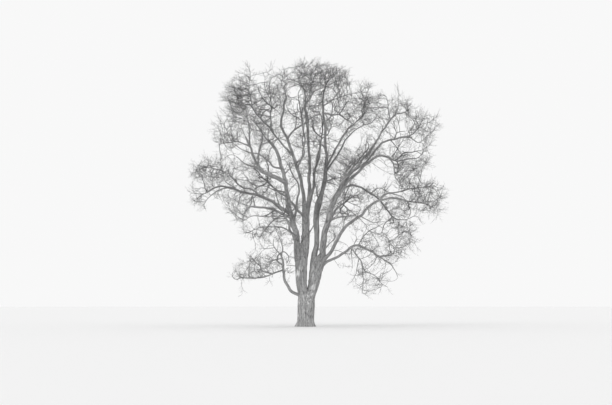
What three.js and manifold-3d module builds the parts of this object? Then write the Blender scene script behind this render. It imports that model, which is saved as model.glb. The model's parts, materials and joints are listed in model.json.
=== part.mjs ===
// A bare winter tree, 20 m high: a short thick trunk that forks low into two stems, the boughs that fan up
// and out from them, and the masses of twigs that they carry. Rooted upright, +Z up, origin at ground level.
import * as THREE from "three";
import { mergeVertices } from "three/addons/utils/BufferGeometryUtils.js";
import Module from "manifold-3d";

const wasm = await Module();
wasm.setup();

// Sizes below are in metres and the finished geometry is in millimetres.
const METRE = 1000;

// The tree is described as it looks from the front, by someone standing this far off with eyes this high.
// Every place is given as across and up on the upright plane through the trunk, with its true depth behind
// that plane (minus is nearer the viewer), and is moved out along the line of sight.
const EYE_HEIGHT = 1.6;
const EYE_DISTANCE = 90;

// The gap that touching solids keep.
const SEAT_GAP = 0.0003;
// Vertices closer than this are one vertex.
const WELD = 0.00001;

// Trunk: a flat cut at ground level, its waist just above the root flare, and the fork that it widens to.
const TRUNK = {
  height: 2.78,
  sides: 22,
  rings: 8,
  footAcross: 0.03,
  forkAcross: 0.13,
  waist: 0.585,
  forkHalfWidth: 0.78,
  forkHalfDepth: 0.62,
  widening: 2.2,
  footCrowding: 1.6,
};

// Root flares round the foot: direction in degrees from the tree's right, how far each stands out at the
// ground, the height over which it dies away, and its breadth in degrees.
const ROOT_FLARES = [
  { turn: 4, reach: 0.28, rise: 0.2, breadth: 26 },
  { turn: 62, reach: 0.2, rise: 0.26, breadth: 24 },
  { turn: 118, reach: 0.24, rise: 0.3, breadth: 26 },
  { turn: 176, reach: 0.27, rise: 0.24, breadth: 24 },
  { turn: 193, reach: 0.07, rise: 1.5, breadth: 16 },
  { turn: 236, reach: 0.22, rise: 0.28, breadth: 25 },
  { turn: 302, reach: 0.25, rise: 0.24, breadth: 27 },
];

// Limbs: a ring of vertices at each step along the limb.
const LIMB_STEP = 1.15;
const STEM_SIDES = 8;
const BOUGH_SIDES = 6;
// Girth falls from base to tip as this power of the way along.
const TAPER = 0.85;
// Steps along a parent's centreline in the search for where a limb leaves it.
const LEAVING_STEPS = 200;

// Twig masses: the fineness of the ball they start from, and the waves that make it uneven. Each wave runs
// its own way across the ball, turned on from the last by the golden angle, and a shorter one is lower.
const MASS_DETAIL = 2;
const UNEVENNESS = 0.17;
const WAVES = 4;
const WAVE_TURN = 2.399963;
const LONGEST_WAVE = 2.4;
const WAVE_SHORTENING = 0.8;

const BARK = { color: 0x8a8784, roughness: 0.95, metalness: 0 };
const BOUGH_BARK = { color: 0x74716e, roughness: 0.93, metalness: 0 };
const TWIGS = { color: 0xa8a4a0, roughness: 1, metalness: 0 };

// Stems and boughs, parents first. "leaves" is where the limb's centreline starts: two numbers pick the
// nearest point of its parent's centreline, three are a place of their own inside the parent. "through" is
// where it runs, and "girth" is its thickness at base and tip.
const STEMS = [
  { name: "left_stem", leaves: [-0.2, 2.35, -0.05], girth: [0.7, 1.04], through: [
    [-0.285, 2.85, -0.05], [-0.26, 4.15, -0.08], [-0.285, 5.3, -0.1], [-0.25, 6.15, -0.1]] },
  { name: "right_stem", leaves: [0.4, 2.2, 0.05], girth: [0.7, 1.02], through: [
    [0.57, 2.85, 0.05], [0.71, 3.41, 0.05], [0.8, 4.15, 0.05], [0.98, 5.2, 0]] },
  { name: "centre_stem", leaves: [-0.02, 5.85, 0], girth: [0.64, 0.5], through: [
    [0.02, 6.74, 0.1], [0.04, 7.5, 0.2], [0.07, 8.2, 0.3], [0.08, 9.0, 0.35]] },
];

const LEFT_BOUGHS = [
  { name: "left_bough", leaves: [-0.5, 5.85, -0.12], girth: [0.45, 0.19], through: [
    [-0.59, 6.4, -0.15], [-0.72, 7.1, -0.3], [-1.1, 8.45, -0.7], [-1.33, 9.7, -1.15],
    [-1.52, 11.1, -1.7], [-1.95, 12.5, -2.4], [-2.25, 13.3, -3], [-2.75, 13.9, -3.5]] },
  { name: "far_left_bough", parent: "left_bough", leaves: [-0.95, 7.9], girth: [0.3, 0.1], through: [
    [-1.5, 8.5, -0.7], [-2.05, 9.05, -0.7], [-2.95, 9.5, -0.6], [-3.7, 9.8, -0.5], [-4.7, 9.9, -0.3],
    [-5.7, 10.35, -0.2], [-6.6, 10.3, -0.3], [-7.5, 9.8, -0.4]] },
  { name: "far_left_upper_bough", parent: "far_left_bough", leaves: [-3, 9.55], girth: [0.15, 0.1], through: [
    [-3.75, 10.1, -0.1], [-4.45, 10.2, 0.3], [-5, 10.45, 0.5], [-5.15, 11.1, 0.4], [-5.7, 11.4, 0.1]] },
  { name: "left_inner_bough", parent: "left_bough", leaves: [-0.85, 7.35], girth: [0.25, 0.13], through: [
    [-1.3, 7.95, -0.9], [-1.9, 8.5, -1.1], [-2.75, 8.75, -1.4], [-3.5, 8.85, -1.7], [-4.05, 8.85, -1.9]] },
  { name: "left_shoulder_bough", parent: "left_bough", leaves: [-1.48, 10.6], girth: [0.34, 0.12], through: [
    [-2.3, 11.1, -1], [-2.9, 11.35, -0.7], [-3.5, 11.75, -0.4], [-3.85, 12.6, -0.1], [-4.1, 13.3, 0.1],
    [-4.5, 14.2, 0.3]] },
  { name: "lower_left_bough", parent: "left_bough", leaves: [-0.62, 6.5], girth: [0.14, 0.1], through: [
    [-1.1, 7, 0.5], [-1.7, 7.3, 1.2], [-2.3, 7.35, 2]] },
  { name: "front_bough", parent: "left_stem", leaves: [-0.28, 5.2], girth: [0.22, 0.14], through: [
    [-0.75, 6.4, -1.2], [-1.05, 7.2, -2.4], [-1.55, 8.3, -4.3]] },
  { name: "back_left_bough", parent: "centre_stem", leaves: [0.05, 7.6], girth: [0.22, 0.14], through: [
    [-0.6, 8.7, 1.3], [-1.4, 9.5, 2.3], [-2.8, 10.7, 4.2]] },
  { name: "low_left_riser", leaves: [-0.15, 2, -0.05], girth: [0.25, 0.16], through: [
    [-0.65, 2.4, -0.3], [-1.25, 2.75, -0.6], [-1.45, 3.3, -0.75], [-1.5, 3.9, -0.85], [-1.62, 4.7, -0.9],
    [-1.8, 5.3, -0.9]] },
  { name: "low_left_arm", parent: "low_left_riser", leaves: [-1.58, 4.45], girth: [0.13, 0.08], through: [
    [-2.2, 4.05, -0.8], [-2.8, 3.75, -0.7], [-3.5, 3.6, -0.6], [-4.1, 3.4, -0.6], [-4.7, 3.6, -0.6]] },
];

const CENTRE_BOUGHS = [
  { name: "upper_left_leader", leaves: [0, 8.75, 0.3], girth: [0.3, 0.13], through: [
    [-0.15, 9.9, 0.1], [-0.32, 11.1, -0.2], [-0.67, 12.1, -0.4], [-1.1, 13.3, -0.5], [-1.28, 14, -0.5],
    [-1.68, 14.5, -0.6], [-1.75, 15.5, -0.9], [-1.5, 16.3, -1.3], [-1.4, 17.1, -1.7]] },
  { name: "upper_left_bough", parent: "upper_left_leader", leaves: [-0.86, 12.6], girth: [0.16, 0.11], through: [
    [-1.25, 13.1, -0.1], [-1.75, 13.6, 0.2], [-2.25, 14.2, 0.5], [-2.6, 14.75, 0.5], [-3.05, 15.3, 0.3],
    [-3.6, 15.75, 0], [-4.15, 16.6, -0.3]] },
  { name: "upper_left_spur", parent: "upper_left_bough", leaves: [-2.35, 14.35], girth: [0.13, 0.09], through: [
    [-2.55, 14.9, 1], [-2.6, 15.6, 1.6], [-2.5, 16.3, 2]] },
  { name: "front_leader", parent: "upper_left_leader", leaves: [-0.62, 12], girth: [0.15, 0.1], through: [
    [-0.3, 12.5, -1], [0, 12.9, -1.6], [-0.1, 13.6, -2.4], [-0.1, 14.4, -3], [-0.2, 15.4, -3.6]] },
  { name: "centre_leader", leaves: [0.18, 8.75, 0.4], girth: [0.3, 0.12], through: [
    [0.28, 9.5, 0.45], [0.28, 11.2, 0.6], [0.28, 13, 0.7], [0.19, 14.5, 0.5], [0, 16, 0.2],
    [-0.05, 17.6, -0.1]] },
  { name: "back_leader", parent: "centre_stem", leaves: [0.07, 8.2], girth: [0.21, 0.14], through: [
    [0.48, 9.35, 1.1], [0.63, 10.8, 2], [0.85, 12.1, 3], [1.1, 13.1, 3.7], [1.25, 14.1, 4.2]] },
];

const RIGHT_BOUGHS = [
  { name: "right_leader", leaves: [0.8, 4.9, 0.05], girth: [0.43, 0.12], through: [
    [0.82, 5.65, 0.1], [0.85, 6.4, 0.15], [0.92, 7.8, 0.25], [1.1, 9.3, 0.3], [1.4, 10.6, 0.5],
    [1.6, 12, 0.6], [1.63, 13, 0.6], [1.48, 13.8, 0.7], [1.55, 14.8, 0.9], [1.35, 15.7, 1.1],
    [1.25, 16.7, 1.5], [1.6, 18, 1.9]] },
  { name: "right_bough", leaves: [1.15, 4.9, -0.05], girth: [0.5, 0.36], through: [
    [1.3, 5.65, -0.1], [1.45, 6.7, -0.25], [1.62, 7.7, -0.4], [2, 8.9, -0.6], [2.35, 9.9, -0.7],
    [2.9, 10.6, -0.8]] },
  { name: "right_long_bough", leaves: [1.15, 4.55, -0.1], girth: [0.3, 0.11], through: [
    [1.6, 5.15, -0.35], [1.97, 5.7, -0.6], [2.45, 6.5, -0.8], [2.9, 7.3, -0.9], [3.7, 7.8, -0.8],
    [4.35, 8.4, -0.8], [4.95, 9, -0.7], [5.7, 9.3, -0.5], [6.6, 9.5, -0.2], [8.2, 9.15, 0.3]] },
  { name: "low_right_bough", leaves: [0.95, 4.4, -0.15], girth: [0.22, 0.12], through: [
    [1.5, 4.75, -0.6], [2, 4.95, -0.9], [2.6, 5.2, -1.2], [3.2, 5.7, -1.4], [3.6, 5.95, -1.4],
    [4.3, 5.9, -1.2], [5, 5.5, -0.7], [5.6, 5.15, 0.1], [6.4, 5.3, 0.9]] },
  { name: "low_right_arm", parent: "low_right_bough", leaves: [3.3, 5.78], girth: [0.12, 0.09], through: [
    [3.65, 5.45, -1.75], [3.95, 5, -1.7], [4.35, 4.4, -1.5], [4.5, 3.9, -1.3]] },
  { name: "right_arch_bough", parent: "right_bough", leaves: [2.75, 10.4], girth: [0.25, 0.13], through: [
    [3.3, 10.88, -1], [3.95, 11.45, -1.1], [4.7, 12.1, -1.15], [5.4, 12.6, -1.15], [5.85, 12.65, -1.15],
    [6.75, 12.25, -1.2]] },
  { name: "right_mid_bough", parent: "right_bough", leaves: [2.78, 10.45], girth: [0.22, 0.12], through: [
    [3.35, 11.2, -0.45], [4.1, 11.9, 0], [4.85, 12.6, 0.4], [5.35, 13.3, 0.7], [5.95, 13.65, 0.9],
    [6.75, 13.95, 1], [8, 14.05, 1]] },
  { name: "right_shoulder_bough", parent: "right_bough", leaves: [2.6, 10.3], girth: [0.19, 0.12], through: [
    [3.15, 11.2, -1.35], [3.95, 11.95, -1.7], [4.65, 12.6, -1.8], [5.15, 13.5, -1.8], [5.75, 14.3, -1.7],
    [6.15, 15.1, -1.5], [6.85, 15.8, -1.2]] },
  { name: "front_right_bough", parent: "right_bough", leaves: [2.3, 9.75], girth: [0.17, 0.12], through: [
    [2.75, 10.6, -2], [3.3, 11.4, -3], [3.85, 12.1, -3.9]] },
  { name: "right_drooping_bough", parent: "right_bough", leaves: [2.6, 10.25], girth: [0.16, 0.12], through: [
    [3.2, 10.42, -0.2], [3.9, 10.3, 0.3], [4.6, 10.05, 0.7], [5.2, 9.65, 1], [5.8, 9, 1.2], [6.5, 8, 1.4]] },
  { name: "back_right_bough", parent: "right_bough", leaves: [1.6, 7.4], girth: [0.21, 0.14], through: [
    [1.95, 8, 1], [2.25, 8.5, 2.1], [2.6, 8.9, 3.1], [2.9, 9.1, 4]] },
  { name: "right_upper_bough", parent: "right_leader", leaves: [1.62, 12.1], girth: [0.16, 0.11], through: [
    [1.95, 12.7, 0.3], [2.45, 13.4, 0], [2.75, 14.1, -0.1], [3.3, 14.65, 0], [3.75, 15.1, 0.3],
    [4.45, 15.8, 0.8]] },
  { name: "right_centre_bough", parent: "right_leader", leaves: [1.38, 15.55], girth: [0.12, 0.09], through: [
    [1.75, 15.75, 0.2], [2.2, 15.7, -0.9], [2.6, 15.8, -2]] },
];

// Twig masses: the middle (across, up, depth), the half sizes (across, up, deep), and for a slanted one the
// tilt of its across direction in degrees, rising to the right.
const MASSES = [
  { name: "top_twigs", middle: [0.1, 18.55, -0.3], half: [1.45, 1.5, 2.1] },
  { name: "top_left_twigs", middle: [-1.5, 17.8, -1.8], half: [0.75, 1.3, 1.4] },
  { name: "top_right_twigs", middle: [2.3, 18.5, 2], half: [1.35, 1.05, 1.7] },
  { name: "front_top_twigs", middle: [-0.5, 16.15, -3.9], half: [1.25, 1.35, 1.8] },
  { name: "back_upper_twigs", middle: [1.26, 15.4, 4.7], half: [1.3, 2.2, 2.1] },
  { name: "upper_left_twigs", middle: [-4.85, 17.2, -0.5], half: [1.35, 1.65, 2.3] },
  { name: "upper_left_inner_twigs", middle: [-2.9, 17.3, 2.2], half: [1, 1.6, 1.7] },
  { name: "front_left_twigs", middle: [-2.9, 14.5, -4.3], half: [1.3, 1.6, 1.7] },
  { name: "left_shoulder_twigs", middle: [-5.7, 14.35, 0.7], half: [1.35, 1.45, 2.6] },
  { name: "back_left_twigs", middle: [-3.26, 11.2, 4.9], half: [1.1, 2.3, 2.1] },
  { name: "far_left_twigs", middle: [-6.9, 11.5, -0.2], half: [2, 0.95, 2.7] },
  { name: "far_left_low_twigs", middle: [-8, 9.65, -0.4], half: [0.8, 1, 1.5] },
  { name: "left_inner_twigs", middle: [-4.9, 8.8, -2.1], half: [1.25, 1.3, 2.3] },
  { name: "lower_left_twigs", middle: [-3.3, 7.2, 3], half: [1.65, 0.85, 2.3] },
  { name: "front_twigs", middle: [-1.85, 8.8, -5.3], half: [1.2, 1.5, 2.2] },
  { name: "low_left_twigs", middle: [-3.6, 4.5, -0.6], half: [2.2, 1, 2.3], tilt: 20 },
  { name: "right_centre_twigs", middle: [2.75, 16, -3], half: [1.3, 1.4, 1.9] },
  { name: "right_upper_twigs", middle: [4.6, 16.45, 1.2], half: [1.25, 1.6, 2.2] },
  { name: "right_shoulder_twigs", middle: [7, 16.15, -1], half: [1.3, 1.05, 2] },
  { name: "far_right_upper_twigs", middle: [8.75, 14.75, 0.8], half: [1.4, 1.4, 2.3] },
  { name: "right_mid_twigs", middle: [7.8, 12.1, -1.5], half: [1.55, 1.45, 2.7] },
  { name: "front_right_twigs", middle: [4.15, 12.7, -4.6], half: [2.1, 0.78, 1.9], tilt: 60 },
  { name: "far_right_twigs", middle: [9.05, 9.6, 0.6], half: [1.7, 1.4, 2.6] },
  { name: "back_right_twigs", middle: [3.1, 9, 5.3], half: [1.5, 1.5, 2.2] },
  { name: "right_low_twigs", middle: [6.95, 6.7, 1.7], half: [1.5, 1.9, 2.6] },
  { name: "right_low_inner_twigs", middle: [4.2, 5.95, -1.7], half: [1.25, 0.95, 1.9] },
  { name: "lowest_right_twigs", middle: [4.8, 3.65, -0.6], half: [1.65, 1.35, 2.3] },
];

// How much larger a thing at this depth has to be to look the same size.
function spreadAt(depth) {
  return (EYE_DISTANCE + depth) / EYE_DISTANCE;
}

function place([across, up, depth]) {
  const spread = spreadAt(depth);
  return new THREE.Vector3(across * spread, depth, EYE_HEIGHT + (up - EYE_HEIGHT) * spread);
}

function asSeen(point) {
  const spread = spreadAt(point.y);
  return new THREE.Vector2(point.x / spread, EYE_HEIGHT + (point.z - EYE_HEIGHT) / spread);
}

function lerp(from, to, way) {
  return from + (to - from) * way;
}

// The point of a centreline that looks nearest to a place on the front view.
function nearestSeen(curve, [across, up]) {
  const target = new THREE.Vector2(across, up);
  const gap = (point) => asSeen(point).distanceTo(target);
  return curve.getSpacedPoints(LEAVING_STEPS).reduce((best, point) => (gap(point) < gap(best) ? point : best));
}

function geometryToSolid(geometry) {
  const bare = geometry.clone();
  bare.deleteAttribute("normal");
  bare.deleteAttribute("uv");
  const welded = mergeVertices(bare, WELD);
  return new wasm.Manifold(new wasm.Mesh({
    numProp: 3,
    vertProperties: welded.attributes.position.array,
    triVerts: Uint32Array.from(welded.index.array),
  }));
}

function solidToGeometry(solid) {
  const mesh = solid.getMesh();
  const geometry = new THREE.BufferGeometry();
  geometry.setAttribute("position", new THREE.BufferAttribute(mesh.vertProperties, 3));
  geometry.setIndex(new THREE.BufferAttribute(mesh.triVerts, 1));
  geometry.scale(METRE, METRE, METRE);
  geometry.computeVertexNormals();
  return geometry;
}

// Moves every vertex of a geometry to where a function puts it.
function reshape(geometry, move) {
  const position = geometry.attributes.position;
  const vertex = new THREE.Vector3();
  for (let index = 0; index < position.count; index += 1) {
    vertex.fromBufferAttribute(position, index);
    const moved = move(vertex);
    position.setXYZ(index, moved.x, moved.y, moved.z);
  }
  return geometry;
}

// The trunk's surface: a column, round at its waist and wide at its fork, with flares round its foot.
function trunkGeometry(grow) {
  const column = new THREE.CylinderGeometry(1, 1, 1, TRUNK.sides, TRUNK.rings);
  return reshape(column, (vertex) => {
    const way = vertex.y + 0.5;
    // Rings are closer together low down, where the flares are.
    const height = TRUNK.height * way ** TRUNK.footCrowding;
    const turn = Math.atan2(-vertex.z, vertex.x);
    const opening = (height / TRUNK.height) ** TRUNK.widening;
    const halfWidth = lerp(TRUNK.waist, TRUNK.forkHalfWidth, opening);
    const halfDepth = lerp(TRUNK.waist, TRUNK.forkHalfDepth, opening);
    let flare = 0;
    for (const root of ROOT_FLARES) {
      const off = THREE.MathUtils.euclideanModulo(THREE.MathUtils.radToDeg(turn) - root.turn + 180, 360) - 180;
      flare += root.reach * Math.exp(-height / root.rise) * Math.exp(-((off / root.breadth) ** 2));
    }
    const reach = Math.hypot(vertex.x, vertex.z);
    const across = lerp(TRUNK.footAcross, TRUNK.forkAcross, way);
    return new THREE.Vector3(
      across + reach * Math.cos(turn) * (halfWidth + flare + grow),
      reach * Math.sin(turn) * (halfDepth + flare + grow),
      height + (way > 0.999 ? grow : 0),
    );
  });
}

// A tapering limb: a capped cylinder laid along a curve.
function limbGeometry(curve, girth, sides, grow) {
  const rings = Math.max(3, Math.round(curve.getLength() / LIMB_STEP));
  const frames = curve.computeFrenetFrames(rings, false);
  const straight = new THREE.CylinderGeometry(1, 1, 1, sides, rings);
  return reshape(straight, (vertex) => {
    const way = vertex.y + 0.5;
    const ring = Math.round(way * rings);
    const radius = lerp(girth[0], girth[1], way ** TAPER) / 2 + grow;
    const beyond = ring === 0 ? -grow : ring === rings ? grow : 0;
    return curve.getPointAt(ring / rings)
      .addScaledVector(frames.tangents[ring], beyond)
      .addScaledVector(frames.normals[ring], -vertex.x * radius)
      .addScaledVector(frames.binormals[ring], vertex.z * radius);
  });
}

// A closed uneven ball that fills the box of its half sizes, each with lumps of its own.
function massGeometry({ middle, half, tilt = 0 }, seed, grow) {
  const ball = new THREE.IcosahedronGeometry(1, MASS_DETAIL);
  reshape(ball, (vertex) => {
    let swell = 1;
    for (let wave = 0; wave < WAVES; wave += 1) {
      const turn = (seed * WAVES + wave + 1) * WAVE_TURN;
      const heading = new THREE.Vector3().setFromSphericalCoords(1, turn * 1.7, turn);
      const ripples = LONGEST_WAVE + WAVE_SHORTENING * wave;
      swell += (UNEVENNESS / Math.sqrt(wave + 1)) * Math.sin(ripples * vertex.dot(heading) + turn * 3.1);
    }
    return vertex.clone().multiplyScalar(swell);
  });
  ball.computeBoundingBox();
  const box = ball.boundingBox;
  const centre = box.getCenter(new THREE.Vector3());
  const size = box.getSize(new THREE.Vector3());
  const spread = spreadAt(middle[2]);
  ball.translate(-centre.x, -centre.y, -centre.z);
  ball.scale((2 * half[0] * spread) / size.x, (2 * half[2]) / size.y, (2 * half[1] * spread) / size.z);
  ball.rotateY(-THREE.MathUtils.degToRad(tilt));
  if (grow > 0) {
    reshape(ball, (vertex) => vertex.clone().setLength(vertex.length() + grow));
  }
  const spot = place(middle);
  return ball.translate(spot.x, spot.y, spot.z);
}

const tree = new THREE.Group();
// Each finished piece leaves a slightly grown copy of itself here, which later pieces are cut back by.
const seats = [];

function addPiece(name, shape, look) {
  let solid = geometryToSolid(shape(0));
  const box = new THREE.Box3().setFromBufferAttribute(shape(0).attributes.position);
  for (const seat of seats) {
    if (seat.box.intersectsBox(box)) {
      solid = solid.subtract(seat.solid);
    }
  }
  const grown = shape(SEAT_GAP);
  seats.push({
    solid: geometryToSolid(grown),
    box: new THREE.Box3().setFromBufferAttribute(grown.attributes.position),
  });
  const mesh = new THREE.Mesh(solidToGeometry(solid), new THREE.MeshStandardMaterial(look));
  mesh.name = name;
  tree.add(mesh);
}

addPiece("trunk", trunkGeometry, BARK);

const centrelines = new Map();

function addLimbs(limbs, sides, look) {
  for (const { name, parent, leaves, through, girth } of limbs) {
    const start = leaves.length === 3 ? place(leaves) : nearestSeen(centrelines.get(parent), leaves);
    const curve = new THREE.CatmullRomCurve3([start, ...through.map(place)], false, "centripetal");
    centrelines.set(name, curve);
    addPiece(name, (grow) => limbGeometry(curve, girth, sides, grow), look);
  }
}

addLimbs(STEMS, STEM_SIDES, BARK);
for (const boughs of [LEFT_BOUGHS, CENTRE_BOUGHS, RIGHT_BOUGHS]) {
  addLimbs(boughs, BOUGH_SIDES, BOUGH_BARK);
}
MASSES.forEach((mass, seed) => addPiece(mass.name, (grow) => massGeometry(mass, seed, grow), TWIGS));

export default tree;
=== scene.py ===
"""A bare winter tree, 20 m high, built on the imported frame.

The trunk, stems and boughs are read back from the frame's solids and covered with ridged bark. Side boughs
follow the routes that show in the photograph. Branches, twigs and twig tips then grow on from all of these by a
seeded rule, and fill the room of the frame's twig masses. All sizes are in metres.
"""

import json
import logging
import math
from dataclasses import dataclass, field
from enum import Enum
from functools import cached_property

import bmesh
import bpy
import numpy as np
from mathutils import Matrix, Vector
from mathutils.bvhtree import BVHTree
from mathutils.kdtree import KDTree

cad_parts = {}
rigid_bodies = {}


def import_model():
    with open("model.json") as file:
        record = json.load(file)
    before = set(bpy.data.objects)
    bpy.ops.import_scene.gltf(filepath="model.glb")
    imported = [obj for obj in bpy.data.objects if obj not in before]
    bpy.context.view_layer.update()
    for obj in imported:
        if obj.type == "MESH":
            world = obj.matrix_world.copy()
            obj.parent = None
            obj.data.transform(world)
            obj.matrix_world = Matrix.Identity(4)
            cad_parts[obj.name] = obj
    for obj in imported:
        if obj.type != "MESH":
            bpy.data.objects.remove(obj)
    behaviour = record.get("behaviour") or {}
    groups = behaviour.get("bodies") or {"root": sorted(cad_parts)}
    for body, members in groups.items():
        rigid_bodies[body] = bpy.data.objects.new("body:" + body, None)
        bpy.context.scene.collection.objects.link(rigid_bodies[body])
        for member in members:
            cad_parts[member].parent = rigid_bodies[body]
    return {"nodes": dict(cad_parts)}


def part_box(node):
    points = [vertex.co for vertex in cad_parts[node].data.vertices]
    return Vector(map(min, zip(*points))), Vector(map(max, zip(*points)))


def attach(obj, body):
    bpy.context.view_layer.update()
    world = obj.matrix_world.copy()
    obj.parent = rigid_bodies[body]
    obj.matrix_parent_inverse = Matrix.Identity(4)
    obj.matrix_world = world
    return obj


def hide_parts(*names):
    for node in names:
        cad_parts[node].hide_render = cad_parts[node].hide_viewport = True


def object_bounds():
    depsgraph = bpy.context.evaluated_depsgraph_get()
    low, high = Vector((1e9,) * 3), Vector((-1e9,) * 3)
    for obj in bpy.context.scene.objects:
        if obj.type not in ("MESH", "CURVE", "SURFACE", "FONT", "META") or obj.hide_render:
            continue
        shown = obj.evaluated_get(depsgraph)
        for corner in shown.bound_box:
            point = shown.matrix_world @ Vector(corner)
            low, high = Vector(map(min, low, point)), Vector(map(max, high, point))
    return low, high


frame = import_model()
cad_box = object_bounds()

log = logging.getLogger("tree")

BODY = "root"

# The viewer of the photograph stands this far from the trunk, with eyes this high.
EYE_DISTANCE = 90.0
EYE_HEIGHT = 1.6

GOLDEN_TURN = 2.399963
FULL_TURN = 2 * math.pi
UP = np.array([0.0, 0.0, 1.0])
RIGHT = np.array([1.0, 0.0, 0.0])
# A direction with more of an axis than this lies too near it to be turned against it.
TOO_NEAR = 0.9

# Curves are worked out in stretches of about this length first, and in this many at least.
FINE_STEP = 0.02
FEWEST_FINE = 8


def placed(seen: np.ndarray) -> np.ndarray:
    """Turns places as seen from the front into true places.

    Args:
        seen: rows of across, up (both on the upright plane through the trunk) and true depth behind it.

    Returns:
        Rows of x, y, z.
    """
    spread = (EYE_DISTANCE + seen[:, 2]) / EYE_DISTANCE
    return np.column_stack((seen[:, 0] * spread, seen[:, 2], EYE_HEIGHT + (seen[:, 1] - EYE_HEIGHT) * spread))


def seen_from_front(points: np.ndarray) -> np.ndarray:
    """Turns true places into across and up as seen from the front.

    Args:
        points: rows of x, y, z.

    Returns:
        Rows of across and up.
    """
    spread = (EYE_DISTANCE + points[:, 1]) / EYE_DISTANCE
    return np.column_stack((points[:, 0] / spread, EYE_HEIGHT + (points[:, 2] - EYE_HEIGHT) / spread))


def unit(vectors: np.ndarray) -> np.ndarray:
    """Scales each row to length one."""
    return vectors / np.maximum(np.linalg.norm(vectors, axis=-1, keepdims=True), 1e-9)


def run_along(points: np.ndarray) -> np.ndarray:
    """Gives the distance from the first of a row of points to each of them, along the row."""
    return np.concatenate(([0.0], np.cumsum(np.linalg.norm(np.diff(points, axis=0), axis=1))))


def smooth_path(points: np.ndarray, values: np.ndarray, step: float) -> tuple[np.ndarray, np.ndarray]:
    """Runs a smooth curve through a few points and deals out even steps along it.

    Args:
        points: rows of x, y, z to run through.
        values: one number for each point, carried along the curve.
        step: the wanted distance between the new points.

    Returns:
        The new points, and the value at each.
    """
    knots = run_along(points)
    slopes = np.gradient(points, knots, axis=0)
    fine = np.linspace(0.0, knots[-1], max(FEWEST_FINE, int(knots[-1] / FINE_STEP)))
    place = np.clip(np.searchsorted(knots, fine, side="right") - 1, 0, len(knots) - 2)
    span = (knots[place + 1] - knots[place])[:, None]
    way = (fine - knots[place])[:, None] / span
    curve = (
        (2 * way ** 3 - 3 * way ** 2 + 1) * points[place] + (way ** 3 - 2 * way ** 2 + way) * span * slopes[place]
        + (3 * way ** 2 - 2 * way ** 3) * points[place + 1] + (way ** 3 - way ** 2) * span * slopes[place + 1]
    )
    run = run_along(curve)
    even = np.linspace(0.0, run[-1], max(2, int(round(run[-1] / step))) + 1)
    at_fine = np.interp(fine, knots, values)
    return (
        np.column_stack([np.interp(even, run, curve[:, axis]) for axis in range(3)]),
        np.interp(even, run, at_fine),
    )


@dataclass
class Limb:
    """The middle line of a limb and its thickness along it."""

    name: str
    points: np.ndarray
    radii: np.ndarray
    parent: str | None = None

    # The lengths and shares of the long and the short kinks, and how far apart their noise is read.
    KINKS = ((1.5, 1.0), (0.62, 0.45))
    KINKS_APART = 5.3
    # Their reach on the thinnest wood, its loss with the radius, its least and most, and the scale of all.
    KINK_REACH, KINK_LOSS, LEAST_KINK, MOST_KINK, KINK_SCALE = 0.1, 0.2, 0.02, 0.08, 1.6
    STRAIGHT_END = 0.6

    def lengths(self) -> np.ndarray:
        """Gives the distance along the limb at each point."""
        return run_along(self.points)

    def headings(self) -> np.ndarray:
        """Gives the direction of growth at each point."""
        return unit(np.gradient(self.points, axis=0))

    def stepped(self, step: float) -> "Limb":
        """Gives the same limb with a point at every step along it."""
        points, radii = smooth_path(self.points, self.radii, step)
        return Limb(self.name, points, radii, self.parent)

    def gnarled(self, seed: int) -> "Limb":
        """Gives the same limb with the small kinks of grown wood, more of them where it is thin.

        Args:
            seed: sets the kinks.

        Returns:
            The limb. Its base and its tip stay where they are.
        """
        run, grain = self.lengths(), Grain(seed)
        spread = np.clip(self.KINK_REACH - self.KINK_LOSS * self.radii, self.LEAST_KINK, self.MOST_KINK)[:, None]
        to_end = np.minimum(run - self.STRAIGHT_END, run[-1] - run)
        ends = np.clip(to_end / self.STRAIGHT_END, 0.0, 1.0)[:, None]
        shift = np.zeros_like(self.points)
        for axis in range(3):
            for length, share in self.KINKS:
                place = np.column_stack((run / length, np.full((len(run), 2), self.KINKS_APART * axis + 0.5)))
                shift[:, axis] += share * grain.at(place)
        return Limb(self.name, self.points + shift * spread * ends * self.KINK_SCALE, self.radii, self.parent)

    def nearest_seen(self, place: tuple[float, float]) -> int:
        """Gives the index of the point that looks nearest to a place on the front view."""
        return int(np.argmin(np.linalg.norm(seen_from_front(self.points) - np.array(place), axis=1)))


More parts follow.
